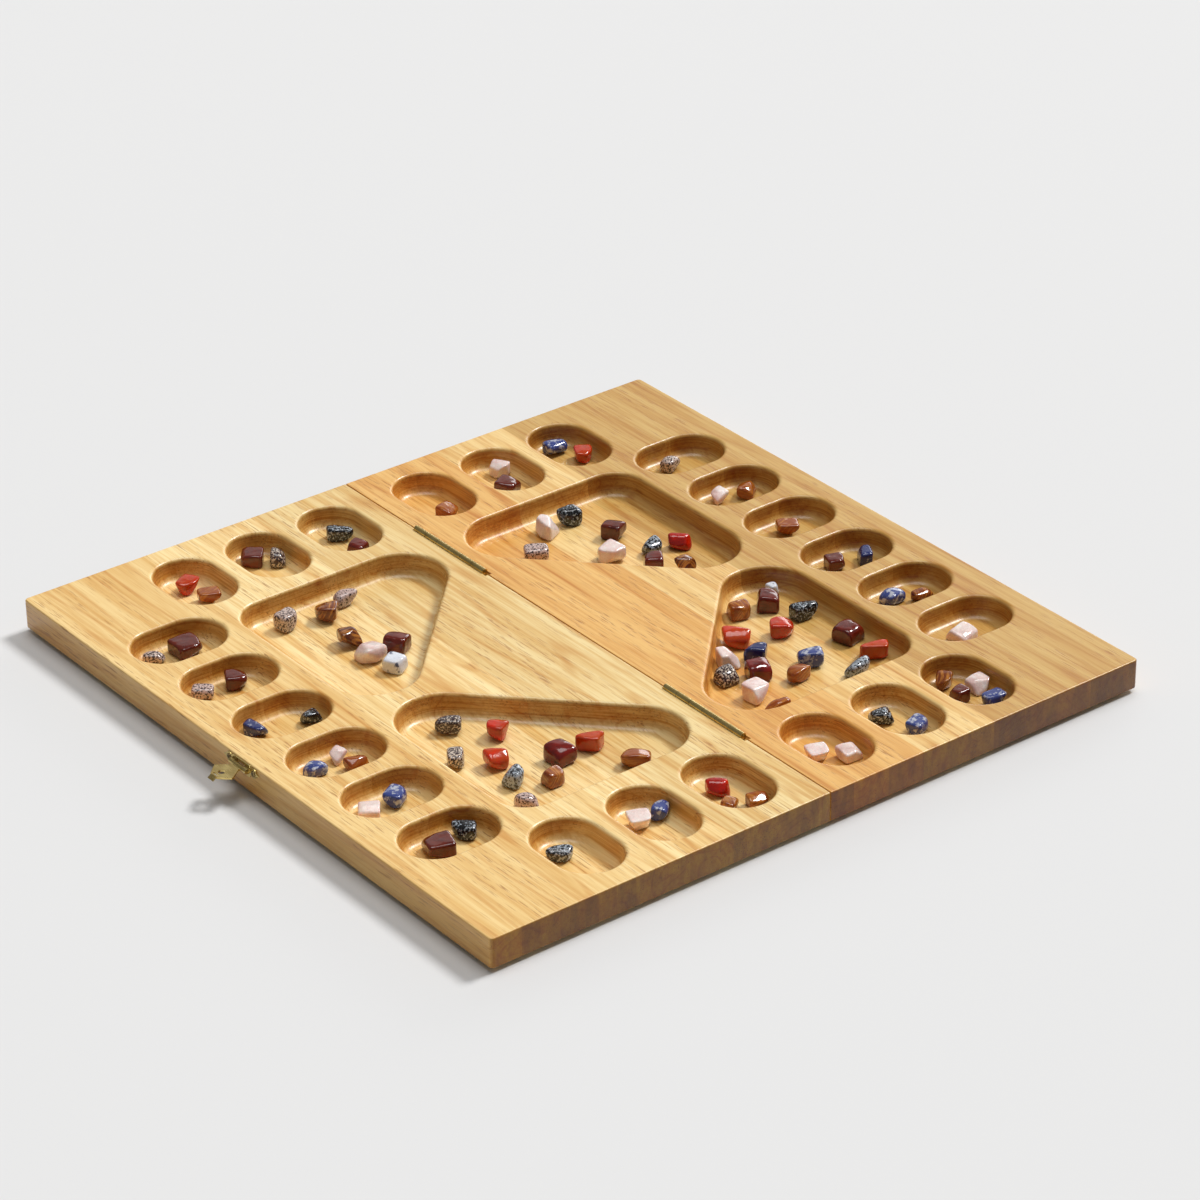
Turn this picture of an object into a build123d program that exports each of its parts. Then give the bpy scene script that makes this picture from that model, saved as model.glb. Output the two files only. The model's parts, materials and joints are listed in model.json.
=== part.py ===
from build123d import *
import math
import os

# Folding four-player mancala board: two routed boards that hinge at the seam and shut into a flat box.
# Drawn lying open on the table. X crosses the seam, Y runs along it and Z is up; the lid board is at -X.
# Lengths are millimetres and angles are degrees.

# ---------------------------------------------------------------- boards
BOARD_SIDE = 420.0  # side of the open square, seam included
BOARD_THICKNESS = 17.0
SEAM_GAP = 0.4  # between the inner edges when open
SHUT_GAP = 0.6  # between the playing faces when shut
CORNER_RADIUS = 2.5
FACE_EDGE_BREAK = 0.9
BACK_EDGE_BREAK = 0.7
SEAM_EDGE_BREAK = 0.4

# ---------------------------------------------------------------- pits and stores
PIT_LENGTH = 55.4
PIT_WIDTH = 37.8
PIT_DEPTH = 12.0
PIT_MARGIN = 13.1  # board edge to the end of a pit
SIDE_PIT_PITCH = 48.3  # three pits each way from the middle, along the outer edges
END_PIT_START = 32.1  # seam to the middle of the first pit, along the end edges
END_PIT_PITCH = 47.6
PITS_PER_RUN = 3
STORE_DEPTH = 13.0
STORE_SIDE_RIB = 7.9  # wood left between a store and the side pits
STORE_END_RIB = 11.7  # wood left between a store and the end pits
STORE_SEAM_LAND = 12.6  # seam to the store's inner tip
STORE_MIDDLE_LAND = 4.6  # middle line to the store's outer tip
STORE_CORNER_RADIUS = 18.9
STORE_TIP_RADIUS = 26.0
CUTTER_RUNOUT = 1.0  # how far the cutting tools rise above the playing face

# ---------------------------------------------------------------- feet
FOOT_DIAMETER = 15.5
FOOT_HEIGHT = 2.5
FOOT_END_INSET = 12.5  # foot middle to the end edges
FOOT_OUTER_INSET = 16.0  # foot middle to the outer edge
FOOT_SEAM_INSET = 12.0  # foot middle to the seam edge

# ---------------------------------------------------------------- hinges
HINGE_LENGTH = 63.5
HINGE_SPACING = 220.0  # middle to middle of the two hinges
HINGE_PLATE_DROP = 12.0  # hinge axis to the free edge of a plate
HINGE_PLATE_THICKNESS = 0.9
KNUCKLE_COUNT = 6
KNUCKLE_RADIUS = 1.9
KNUCKLE_END_GAP = 0.2  # between neighbouring knuckles
HINGE_PIN_RADIUS = 0.9
PIN_RUNNING_CLEARANCE = 0.05
PIN_END_PROUD = 0.5  # pin past the end of the barrel
KNUCKLE_NOTCH_CLEARANCE = 0.25  # plate edge to the other plate's knuckles
BARREL_CLEARANCE = 0.15  # wood to the knuckles
MORTISE_CLEARANCE = 0.15  # wood to the edges of a hinge plate
BARREL_GROOVE_RUNOUT = 3.5  # groove past the near end of the barrel

# ---------------------------------------------------------------- clasp on the lid board
CLASP_DROP = 3.6  # playing face to the flap's axis
CLASP_STANDOFF = 2.3  # wood to the flap's axis
CLASP_PLATE_THICKNESS = 0.8
CLASP_BODY_WIDTH = 16.3
CLASP_BODY_RISE = 3.0  # axis to the plate's edge on the playing-face side
CLASP_BODY_FALL = 3.9  # axis to the plate's edge on the back side
CLASP_WINDOW_FALL = 2.2  # half the height of the window behind the flap's barrel
EAR_CENTRE = 10.9  # middle of the plate to a screw ear
EAR_RADIUS = 2.8
EAR_NECK = 4.6
EAR_TIP = 15.5
EAR_POINT_WIDTH = 4.5  # width of the pointed end where it leaves the round of the ear
CLASP_KNUCKLE_RADIUS = 1.4
CLASP_KNUCKLE_WIDTH = 3.4
CLASP_PIN_RADIUS = 0.7
CLASP_KNUCKLE_GAP = 0.15
FLAP_BARREL_WIDTH = 8.0
FLAP_THICKNESS = 0.8
FLAP_SHOULDER = (2.4, 3.3)  # distance from the axis, half width
FLAP_WAIST = (9.1, 8.3)
FLAP_FOOT = (15.0, 2.75)
FLAP_WAIST_RADIUS = 1.0
FLAP_RIM_WIDTH = 0.8
FLAP_RIM_HEIGHT = 0.3
FLAP_RIBS_EACH_SIDE = 3
FLAP_RIB_WIDTH = 0.7
FLAP_RIB_FAN = 13.0  # angle between neighbouring ribs
FLAP_HOLE_REACH = 10.2  # axis to the stud hole
FLAP_HOLE_RADIUS = 1.9
FLAP_SLOT = (4.4, 1.1)
FLAP_SLOT_REACH = 13.7
TAB_LENGTH = 2.6
TAB_WIDTH = 4.4
TAB_BEND = 35.0

# ---------------------------------------------------------------- catch on the base board
CATCH_BODY_WIDTH = 13.0
CATCH_BODY_HEIGHT = 6.4
CATCH_PLATE_THICKNESS = 0.8
STUD_NECK_RADIUS = 0.9
STUD_HEAD_RADIUS = 1.5
STUD_HEAD_HEIGHT = 1.2
STUD_PROUD = 1.0  # stud head above the shut flap's outer face

# ---------------------------------------------------------------- levels worked out from the sizes above
BOARD_BACK = FOOT_HEIGHT
BOARD_TOP = FOOT_HEIGHT + BOARD_THICKNESS
HALF_SIDE = BOARD_SIDE / 2
SEAM_EDGE = SEAM_GAP / 2
HINGE_AXIS = BOARD_TOP + SHUT_GAP / 2
CLASP_AXIS = BOARD_TOP - CLASP_DROP
# The shut lid lies upside down on the base, so the clasp's axis is then as far above the playing face.
CATCH_LEVEL = BOARD_TOP + SHUT_GAP + CLASP_DROP - FLAP_HOLE_REACH


# ---------------------------------------------------------------- hollows
def pit_middles():
    """Middle and long-axis angle of each pit, named L, R, F, N for the left, right, far and near edges."""
    edge = HALF_SIDE - PIT_MARGIN - PIT_LENGTH / 2
    along_side = [(k + 0.5) * SIDE_PIT_PITCH for k in range(PITS_PER_RUN)]
    along_end = [END_PIT_START + k * END_PIT_PITCH for k in range(PITS_PER_RUN)]
    middles = {}
    for k, y in enumerate(along_side[::-1] + [-y for y in along_side], 1):
        middles[f"L{k}"] = (-edge, y, 0)
        middles[f"R{k}"] = (edge, y, 0)
    for k, x in enumerate([-x for x in along_end[::-1]] + along_end, 1):
        middles[f"F{k}"] = (x, edge, 90)
        middles[f"N{k}"] = (x, -edge, 90)
    return middles


def store_corner():
    """Right-angled corner of a store, as distances from the seam and from the middle line."""
    pit_end = HALF_SIDE - PIT_MARGIN - PIT_LENGTH
    return pit_end - STORE_SIDE_RIB, pit_end - STORE_END_RIB


STORES = {"LF": (-1, 1), "RF": (1, 1), "LN": (-1, -1), "RN": (1, -1)}


def store_middles():
    """Middle of each store's extent, named by the board and the far or near end."""
    corner_x, corner_y = store_corner()
    x = (corner_x + STORE_SEAM_LAND) / 2
    y = (corner_y + STORE_MIDDLE_LAND) / 2
    return {name: (sx * x, sy * y, 0) for name, (sx, sy) in STORES.items()}


def pit_tool(x, y, turn):
    outline = Pos(x, y, BOARD_TOP - PIT_DEPTH) * SlotOverall(PIT_LENGTH, PIT_WIDTH, rotation=turn)
    return extrude(outline, PIT_DEPTH + CUTTER_RUNOUT)


def store_tool(sign_x, sign_y):
    """Triangular tray with one square corner and two rounder tips, the long wall facing the middle."""
    corner_x, corner_y = store_corner()
    # A tip rounded at 45 degrees draws back from its sharp point by root two of its radius.
    draw_back = math.sqrt(2) * STORE_TIP_RADIUS
    corners = [(corner_x, corner_y), (STORE_SEAM_LAND - draw_back, corner_y)]
    corners.append((corner_x, STORE_MIDDLE_LAND - draw_back))
    outline = make_face(Polyline(*corners, close=True))
    by_distance = outline.vertices().sort_by(lambda v: -(v.X + v.Y))
    outline = fillet(by_distance[0], STORE_CORNER_RADIUS)
    tips = outline.vertices().sort_by(lambda v: min(v.X, v.Y))[:2]
    outline = fillet(tips, STORE_TIP_RADIUS)
    tool = extrude(Pos(0, 0, BOARD_TOP - STORE_DEPTH) * outline, STORE_DEPTH + CUTTER_RUNOUT)
    if sign_x < 0:
        tool = mirror(tool, Plane.YZ)
    if sign_y < 0:
        tool = mirror(tool, Plane.XZ)
    return tool


# ---------------------------------------------------------------- boards
def hinge_middles():
    return {"far": HINGE_SPACING / 2, "near": -HINGE_SPACING / 2}


def hinge_pocket(side, middle):
    """Mortise for one hinge plate, and the round groove that lets the barrel half into the edge."""
    depth = SEAM_EDGE + HINGE_PLATE_THICKNESS
    height = HINGE_PLATE_DROP + MORTISE_CLEARANCE
    length = HINGE_LENGTH + 2 * MORTISE_CLEARANCE
    mortise = Box(depth, length, height, align=(Align.MIN, Align.CENTER, Align.MAX))
    near_end = middle - HINGE_LENGTH / 2 - BARREL_GROOVE_RUNOUT
    far_end = middle + HINGE_LENGTH / 2 + PIN_END_PROUD + KNUCKLE_END_GAP
    groove = Plane.XZ.offset(-far_end) * Circle(KNUCKLE_RADIUS + BARREL_CLEARANCE)
    groove = extrude(groove, far_end - near_end)
    pocket = Pos(0, middle, HINGE_AXIS) * mortise + Pos(0, 0, HINGE_AXIS) * groove
    return pocket if side > 0 else mirror(pocket, Plane.YZ)


def board(side):
    """One board, +1 for the base at +X and -1 for the lid at -X."""
    width = HALF_SIDE - SEAM_EDGE
    outline = Pos(SEAM_EDGE + width / 2, 0) * Rectangle(width, BOARD_SIDE)
    outline = fillet(outline.vertices().group_by(Axis.X)[-1], CORNER_RADIUS)
    blank = extrude(Pos(0, 0, BOARD_BACK) * outline, BOARD_THICKNESS)
    for level, size in ((-1, FACE_EDGE_BREAK), (0, BACK_EDGE_BREAK)):
        edges = blank.edges().group_by(Axis.Z)[level]
        blank = chamfer([e for e in edges if e.center().X > SEAM_EDGE + SEAM_GAP], size)
    blank = chamfer(blank.edges().group_by(Axis.Z)[-1].sort_by(Axis.X)[0], SEAM_EDGE_BREAK)
    if side < 0:
        blank = mirror(blank, Plane.YZ)
    tools = [pit_tool(*pit) for pit in pit_middles().values() if pit[0] * side > 0]
    tools += [store_tool(*signs) for signs in STORES.values() if signs[0] == side]
    tools += [hinge_pocket(side, middle) for middle in hinge_middles().values()]
    return blank - tools


# ---------------------------------------------------------------- hinges
def barrel(radius, start, end):
    """Round bar along Y, centred on X and Z zero."""
    return extrude(Plane.XZ.offset(-end) * Circle(radius), end - start)


def hinge_plate(side, middle):
    """Flat plate against the board's edge with every other knuckle; the base plate takes the first one."""
    slot = HINGE_LENGTH / KNUCKLE_COUNT
    own = range(0 if side > 0 else 1, KNUCKLE_COUNT, 2)
    notch = KNUCKLE_RADIUS + KNUCKLE_NOTCH_CLEARANCE
    low = (Align.MIN, Align.CENTER, Align.MIN)
    plate = Pos(SEAM_EDGE, 0, -HINGE_PLATE_DROP) * Box(
        HINGE_PLATE_THICKNESS, HINGE_LENGTH, HINGE_PLATE_DROP - notch, align=low
    )
    for k in own:
        start = -HINGE_LENGTH / 2 + k * slot + KNUCKLE_END_GAP / 2
        length = slot - KNUCKLE_END_GAP
        web = Box(HINGE_PLATE_THICKNESS, length, notch, align=low)
        plate += Pos(SEAM_EDGE, start + length / 2, -notch) * web
        plate += barrel(KNUCKLE_RADIUS, start, start + length)
    plate -= barrel(HINGE_PIN_RADIUS + PIN_RUNNING_CLEARANCE, -HINGE_LENGTH / 2, HINGE_LENGTH / 2)
    if side < 0:
        plate = mirror(plate, Plane.YZ)
    return Pos(0, middle, HINGE_AXIS) * plate


def hinge_pin(middle):
    half = HINGE_LENGTH / 2 + PIN_END_PROUD
    return Pos(0, middle, HINGE_AXIS) * barrel(HINGE_PIN_RADIUS, -half, half)


# ---------------------------------------------------------------- clasp
def ears():
    """Flat outline of the two pointed screw ears, joined by their neck."""
    shape = Rectangle(2 * EAR_CENTRE, EAR_NECK)
    for sign in (-1, 1):
        shape += Pos(sign * EAR_CENTRE, 0) * Circle(EAR_RADIUS)
        root = [(sign * EAR_CENTRE, v) for v in (-EAR_POINT_WIDTH / 2, EAR_POINT_WIDTH / 2)]
        shape += make_face(Polyline(*root, (sign * EAR_TIP, 0), close=True))
    return shape


def lid_face():
    """Plane on the lid board's outer edge level with the flap's axis, facing out."""
    return Plane(origin=(-HALF_SIDE, 0, CLASP_AXIS), x_dir=(0, -1, 0), z_dir=(-1, 0, 0))


def clasp_plate():
    body_height = CLASP_BODY_RISE + CLASP_BODY_FALL
    body = Pos(0, (CLASP_BODY_RISE - CLASP_BODY_FALL) / 2) * Rectangle(CLASP_BODY_WIDTH, body_height)
    body = chamfer(body.vertices(), FLAP_RIM_WIDTH)
    window = Rectangle(FLAP_BARREL_WIDTH + 2 * CLASP_KNUCKLE_GAP, 2 * CLASP_WINDOW_FALL)
    plate = extrude(lid_face() * (ears() + body - window), CLASP_PLATE_THICKNESS)
    inner = FLAP_BARREL_WIDTH / 2 + CLASP_KNUCKLE_GAP
    to_wood = (Align.MIN, Align.MIN, Align.CENTER)
    for start in (inner, -inner - CLASP_KNUCKLE_WIDTH):
        lug = Box(CLASP_STANDOFF, CLASP_KNUCKLE_WIDTH, 2 * CLASP_KNUCKLE_RADIUS, align=to_wood)
        knuckle = Pos(0, start, 0) * lug + barrel(CLASP_KNUCKLE_RADIUS, start, start + CLASP_KNUCKLE_WIDTH)
        plate += Pos(-HALF_SIDE - CLASP_STANDOFF, 0, CLASP_AXIS) * knuckle
    bore = barrel(CLASP_PIN_RADIUS + PIN_RUNNING_CLEARANCE, -CLASP_BODY_WIDTH, CLASP_BODY_WIDTH)
    return plate - Pos(-HALF_SIDE - CLASP_STANDOFF, 0, CLASP_AXIS) * bore


def clasp_pin():
    half = FLAP_BARREL_WIDTH / 2 + CLASP_KNUCKLE_GAP + CLASP_KNUCKLE_WIDTH
    return Pos(-HALF_SIDE - CLASP_STANDOFF, 0, CLASP_AXIS) * barrel(CLASP_PIN_RADIUS, -half, half)


def flap_outline():
    """Fan shape of the flap, its axis along the sketch's X and its tip at -Y."""
    half = [FLAP_SHOULDER, FLAP_WAIST, FLAP_FOOT]
    points = [(0, FLAP_SHOULDER[1])] + half
    right = [(w, -v) for v, w in points]
    left = [(-w, -v) for v, w in reversed(points)]
    outline = make_face(Polyline(*(right + left), close=True))
    waists = outline.vertices().filter_by(lambda v: abs(abs(v.X) - FLAP_WAIST[1]) < FLAP_RIM_WIDTH)
    return fillet(waists, FLAP_WAIST_RADIUS)


def clasp_flap():
    """Stamped flap with a raised rim and a fan of ribs on its outer face, drawn sticking straight out."""
    outline = flap_outline()
    sheet = extrude(outline, FLAP_THICKNESS / 2, both=True)
    # The outer face looks down while the flap sticks out, and away from the box when it is shut.
    outer = Pos(0, 0, -FLAP_THICKNESS / 2 - FLAP_RIM_HEIGHT)
    inside = offset(outline, -FLAP_RIM_WIDTH, kind=Kind.INTERSECTION)
    relief = outline - inside
    rib_length = FLAP_FOOT[0]
    for k in range(-FLAP_RIBS_EACH_SIDE, FLAP_RIBS_EACH_SIDE + 1):
        rib = Rot(0, 0, k * FLAP_RIB_FAN) * (Pos(0, -rib_length / 2) * Rectangle(FLAP_RIB_WIDTH, rib_length))
        relief += rib & inside
    relief += Pos(0, -FLAP_HOLE_REACH) * Circle(FLAP_HOLE_RADIUS + FLAP_RIM_WIDTH)
    clear_of_barrel = Pos(0, -CLASP_KNUCKLE_RADIUS / 2) * Rectangle(2 * FLAP_WAIST[1], CLASP_KNUCKLE_RADIUS)
    relief = extrude(outer * (relief - clear_of_barrel), FLAP_RIM_HEIGHT)
    tab_start = (0, -FLAP_FOOT[0], 0)
    tab = Pos(*tab_start) * Rot(TAB_BEND, 0, 0) * Box(
        TAB_WIDTH, TAB_LENGTH, FLAP_THICKNESS, align=(Align.CENTER, Align.MAX, Align.CENTER)
    )
    blank = sheet + relief + tab
    drill = Pos(0, -FLAP_HOLE_REACH) * Circle(FLAP_HOLE_RADIUS)
    drill += Pos(0, -FLAP_SLOT_REACH) * Rectangle(*FLAP_SLOT)
    blank -= extrude(drill, 2 * FLAP_THICKNESS, both=True)
    # Turned so that the sketch's -Y points out along -X, with the barrel along Y.
    flap = Rot(0, 0, -90) * blank
    half = FLAP_BARREL_WIDTH / 2
    flap += barrel(CLASP_KNUCKLE_RADIUS, -half, half)
    flap -= barrel(CLASP_PIN_RADIUS + PIN_RUNNING_CLEARANCE, -half, half)
    return Pos(-HALF_SIDE - CLASP_STANDOFF, 0, CLASP_AXIS) * flap


# ---------------------------------------------------------------- catch
def base_face():
    """Plane on the base board's outer edge at the stud, facing out."""
    return Plane(origin=(HALF_SIDE, 0, CATCH_LEVEL), x_dir=(0, 1, 0), z_dir=(1, 0, 0))


def catch_plate():
    body = chamfer(Rectangle(CATCH_BODY_WIDTH, CATCH_BODY_HEIGHT).vertices(), FLAP_RIM_WIDTH)
    return extrude(base_face() * (ears() + body), CATCH_PLATE_THICKNESS)


def catch_stud():
    """Turned stud on the catch plate; the shut flap's hole drops over its head."""
    tip = CLASP_STANDOFF + FLAP_THICKNESS / 2 + FLAP_RIM_HEIGHT + STUD_PROUD
    neck_top = tip - STUD_HEAD_HEIGHT
    root = CATCH_PLATE_THICKNESS
    neck = [(0, root), (STUD_NECK_RADIUS, root), (STUD_NECK_RADIUS, neck_top)]
    head = [(STUD_HEAD_RADIUS, neck_top), (STUD_HEAD_RADIUS, tip), (0, tip)]
    profile = make_face(Polyline(*neck, *head, close=True))
    stud = revolve(Plane.XZ * profile, Axis.Z)
    return base_face().location * stud


# ---------------------------------------------------------------- feet
def feet(side):
    """The four rubber pads of one board."""
    pads = []
    for x in (SEAM_EDGE + FOOT_SEAM_INSET, HALF_SIDE - FOOT_OUTER_INSET):
        for y in (HALF_SIDE - FOOT_END_INSET, FOOT_END_INSET - HALF_SIDE):
            pads.append(extrude(Pos(side * x, y) * Circle(FOOT_DIAMETER / 2), FOOT_HEIGHT))
    return pads


# ---------------------------------------------------------------- stones
# A stone is faceted between three level rings of corners: the widest one and two smaller end rings.
MIDDLE_RING_COUNT = {"block": 4, "pebble": 6, "chip": 5}  # corners of the ring
MIDDLE_RING_TURN = {"block": 0.5, "pebble": 0.0, "chip": 0.0}  # share of a corner's step
END_RING_COUNT = {"block": 4, "pebble": 4, "chip": 3}
END_RING_SHARE = {"block": 0.88, "pebble": 0.85, "chip": 0.80}
SQUARENESS = {"block": 6.0, "pebble": 3.0, "chip": 2.6}  # 2 is an oval, more is nearer a rectangle
MIDDLE_RING_LEVEL = 0.45  # share of a stone's height
MINERALS = {
    "jasper": "block",
    "rose_quartz": "block",
    "howlite": "block",
    "speckled": "pebble",
    "snowflake": "pebble",
    "sodalite": "pebble",
    "tiger_eye": "chip",
    "carnelian": "chip",
}

# The stones below are laid out in hollows of these widths across, and close up or spread with them.
LAYOUT_PIT_WIDTH = 37.8
LAYOUT_STORE_WIDTH = 121.0

# Stones in each hollow: mineral, place from the hollow's middle, length, width, headroom under the
# playing face, and turn about Z.
STONES = {
    "F1": [("carnelian", 0.8, 9.6, 15, 11, 4.0, 30), ("tiger_eye", 3.8, -6.4, 14, 10, 4.6, -20)],
    "F2": [("jasper", -1.1, 14.6, 12, 10, 4.0, 10), ("speckled", 10.0, 5.6, 13, 9, 3.6, 52)],
    "F3": [("snowflake", 5.1, 7.6, 15, 11, 4.0, -30), ("jasper", 3.1, -12.5, 13, 9, 4.6, 10)],
    "F4": [("tiger_eye", 2.2, -9.4, 14, 11, 4.0, 20)],
    "F5": [("rose_quartz", 6.4, 12.6, 13, 10, 4.0, 20), ("jasper", -0.7, -5.4, 12, 10, 4.6, -30)],
    "F6": [("sodalite", 0.5, 14.6, 13, 10, 4.0, 0), ("carnelian", 7.5, -3.4, 14, 11, 4.2, 60)],
    "L1": [("speckled", -12.3, 5.5, 12, 9, 5.4, -40), ("jasper", 6.7, 3.5, 20, 12, 4.0, -40)],
    "L2": [("speckled", -12.3, 7.4, 12, 9, 5.2, -40), ("jasper", 7.7, 6.4, 14, 12, 3.8, -35)],
    "L3": [("sodalite", -12.3, 7.2, 14, 9, 4.6, -74), ("snowflake", 17.8, 0.2, 11, 9, 4.8, 0)],
    "L4": [
        ("sodalite", -10.3, 4.1, 12, 9, 4.2, 10),
        ("rose_quartz", 5.7, 8.1, 12, 8, 4.8, 5),
        ("tiger_eye", 8.7, -3.9, 13, 9, 4.6, 0),
    ],
    "L5": [("rose_quartz", -11.3, 4.0, 13, 10, 4.8, -20), ("sodalite", 5.7, 5.0, 13, 11, 3.8, 30)],
    "L6": [("jasper", -4.3, 2.9, 16, 12, 3.6, 10), ("snowflake", 13.7, 6.9, 13, 10, 4.0, -40)],
    "N1": [("snowflake", -4.2, 9.7, 14, 9, 4.0, -50)],
    "N2": [("rose_quartz", -3.1, 7.7, 13, 11, 4.0, -40), ("sodalite", 11.0, 8.7, 11, 9, 3.6, 40)],
    "N3": [
        ("carnelian", -0.9, 7.7, 14, 10, 3.8, -20),
        ("tiger_eye", -5.0, -7.3, 12, 8, 5.4, 30),
        ("tiger_eye", 8.1, -12.3, 13, 8, 5.6, -15),
    ],
    "N4": [("rose_quartz", -4.8, 1.7, 13, 9, 4.6, 20), ("rose_quartz", 9.2, -6.3, 12, 9, 4.8, -30)],
    "N5": [("snowflake", -2.7, 9.7, 13, 11, 4.0, -20), ("sodalite", 5.4, -9.3, 13, 10, 4.0, 20)],
    "N6": [
        ("tiger_eye", -2.5, 15.8, 13, 9, 4.2, 40),
        ("jasper", -4.6, 0.7, 11, 10, 4.0, 0),
        ("rose_quartz", 10.5, 2.7, 12, 9, 4.6, 60),
        ("sodalite", 6.5, -13.3, 13, 9, 4.6, 0),
    ],
    "R1": [("speckled", -2.4, 6.5, 13, 10, 4.0, 20)],
    "R2": [("tiger_eye", 10.6, 2.3, 14, 10, 4.0, 40), ("rose_quartz", -5.4, 7.4, 12, 10, 4.6, 0)],
    "R3": [("tiger_eye", -0.4, 2.2, 14, 11, 4.2, -30)],
    "R4": [("jasper", -5.4, 3.1, 16, 10, 4.0, -10), ("sodalite", 12.6, -0.9, 13, 8, 3.8, 60)],
    "R5": [("sodalite", -5.4, 4.0, 14, 10, 3.8, 10), ("tiger_eye", 8.6, -4.0, 14, 7, 5.8, -5)],
    "R6": [("rose_quartz", -3.4, -1.2, 16, 10, 4.0, -30)],
    "LF": [
        ("speckled", -32.1, 47.0, 13, 11, 2.8, 10),
        ("tiger_eye", -11.0, 42.0, 14, 12, 3.2, -40),
        ("speckled", 7.0, 49.0, 14, 9, 4.2, 0),
        ("tiger_eye", -16.1, 10.9, 14, 13, 2.8, 70),
        ("rose_quartz", -17.1, -9.1, 12, 11, 3.2, -40),
        ("jasper", -0.0, -9.1, 14, 12, 3.0, 20),
        ("howlite", -13.1, -25.2, 14, 10, 4.4, -35),
    ],
    "LN": [
        ("speckled", -28.1, 40.7, 14, 10, 4.0, -40),
        ("carnelian", -12.1, 20.7, 14, 11, 3.6, 30),
        ("speckled", -45.1, 10.7, 13, 10, 3.8, 60),
        ("carnelian", -29.1, -2.3, 15, 12, 3.2, -10),
        ("snowflake", -32.1, -21.4, 13, 11, 3.0, 20),
        ("tiger_eye", -17.1, -33.4, 13, 10, 3.4, 0),
        ("jasper", -1.0, -18.4, 12, 11, 2.8, 45),
        ("carnelian", 18.0, -17.4, 14, 12, 3.4, -60),
        ("tiger_eye", 26.0, -44.4, 18, 10, 4.4, -40),
        ("speckled", -41.1, -43.4, 13, 9, 4.6, -30),
    ],
    "RN": [
        ("tiger_eye", 17.2, 39.7, 14, 11, 3.0, -20),
        ("jasper", 35.3, 36.7, 15, 12, 2.6, -30),
        ("howlite", 47.3, 47.7, 9, 7, 6.4, 0),
        ("snowflake", 44.3, 17.7, 15, 11, 3.6, 0),
        ("carnelian", 22.3, 10.7, 15, 12, 4.0, -35),
        ("carnelian", -2.8, 16.7, 19, 13, 2.8, -30),
        ("rose_quartz", -19.8, 2.7, 13, 10, 3.2, 50),
        ("sodalite", -4.8, -1.3, 12, 10, 3.6, -50),
        ("speckled", -31.8, -10.4, 13, 11, 4.2, 0),
        ("jasper", -15.8, -17.4, 13, 12, 2.6, -40),
        ("tiger_eye", -1.8, -31.4, 15, 9, 4.4, 10),
        ("sodalite", 14.2, -23.4, 14, 11, 3.6, -30),
        ("jasper", 47.3, -15.4, 14, 11, 3.6, -40),
        ("snowflake", 28.3, -46.4, 17, 9, 4.0, 5),
        ("carnelian", 45.3, -37.4, 17, 10, 3.8, -40),
        ("rose_quartz", -29.8, -32.4, 14, 10, 3.2, 60),
        ("tiger_eye", -30.8, -49.4, 15, 8, 5.4, -5),
    ],
    "RF": [
        ("speckled", -28.8, 23.9, 14, 11, 4.6, -30),
        ("rose_quartz", -7.8, 43.0, 13, 11, 3.0, 10),
        ("snowflake", 10.2, 45.0, 13, 11, 2.8, 0),
        ("jasper", 20.3, 17.9, 13, 11, 3.4, -50),
        ("rose_quartz", 1.2, -2.1, 13, 12, 3.2, -35),
        ("snowflake", 25.3, -10.1, 12, 10, 3.8, 0),
        ("carnelian", 40.3, -15.1, 15, 9, 4.6, -30),
        ("jasper", 14.2, -25.2, 13, 10, 3.4, -20),
        ("tiger_eye", 26.3, -38.2, 13, 10, 4.0, 0),
    ],
}


def ring(length, width, squareness, corners, half_step):
    """Corners of one level of a stone, on a rounded rectangle that is squarer as squareness grows."""
    points = []
    for k in range(corners):
        angle = 2 * math.pi * (k + half_step) / corners
        c, s = math.cos(angle), math.sin(angle)
        reach = (abs(2 * c / length) ** squareness + abs(2 * s / width) ** squareness) ** (-1 / squareness)
        points.append((reach * c, reach * s))
    return points


def stone(cut, length, width, height, turn):
    """Tumbled stone with its flat bottom at Z zero."""
    middle = ring(length, width, SQUARENESS[cut], MIDDLE_RING_COUNT[cut], MIDDLE_RING_TURN[cut])
    corners = [(x, y, MIDDLE_RING_LEVEL * height) for x, y in middle]
    share = END_RING_SHARE[cut]
    end = ring(share * length, share * width, SQUARENESS[cut], END_RING_COUNT[cut], 0.5)
    for level in (0, height):
        corners += [(x, y, level) for x, y in end]
    return Rot(0, 0, turn) * ConvexPolyhedron(corners)


def layout_scale(name):
    """How much wider a hollow is than the one its stones are laid out in."""
    if name in STORES:
        return (store_corner()[0] - STORE_SEAM_LAND) / LAYOUT_STORE_WIDTH
    return PIT_WIDTH / LAYOUT_PIT_WIDTH


def stones(side, mineral):
    """Every stone of one mineral on one board."""
    found = []
    for name, (x, y, _) in (pit_middles() | store_middles()).items():
        if x * side < 0:
            continue
        depth = STORE_DEPTH if name in STORES else PIT_DEPTH
        scale = layout_scale(name)
        for kind, dx, dy, length, width, headroom, turn in STONES[name]:
            if kind == mineral:
                shape = stone(MINERALS[kind], scale * length, scale * width, depth - headroom, turn)
                found.append(Pos(x + scale * dx, y + scale * dy, BOARD_TOP - depth) * shape)
    return found


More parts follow.
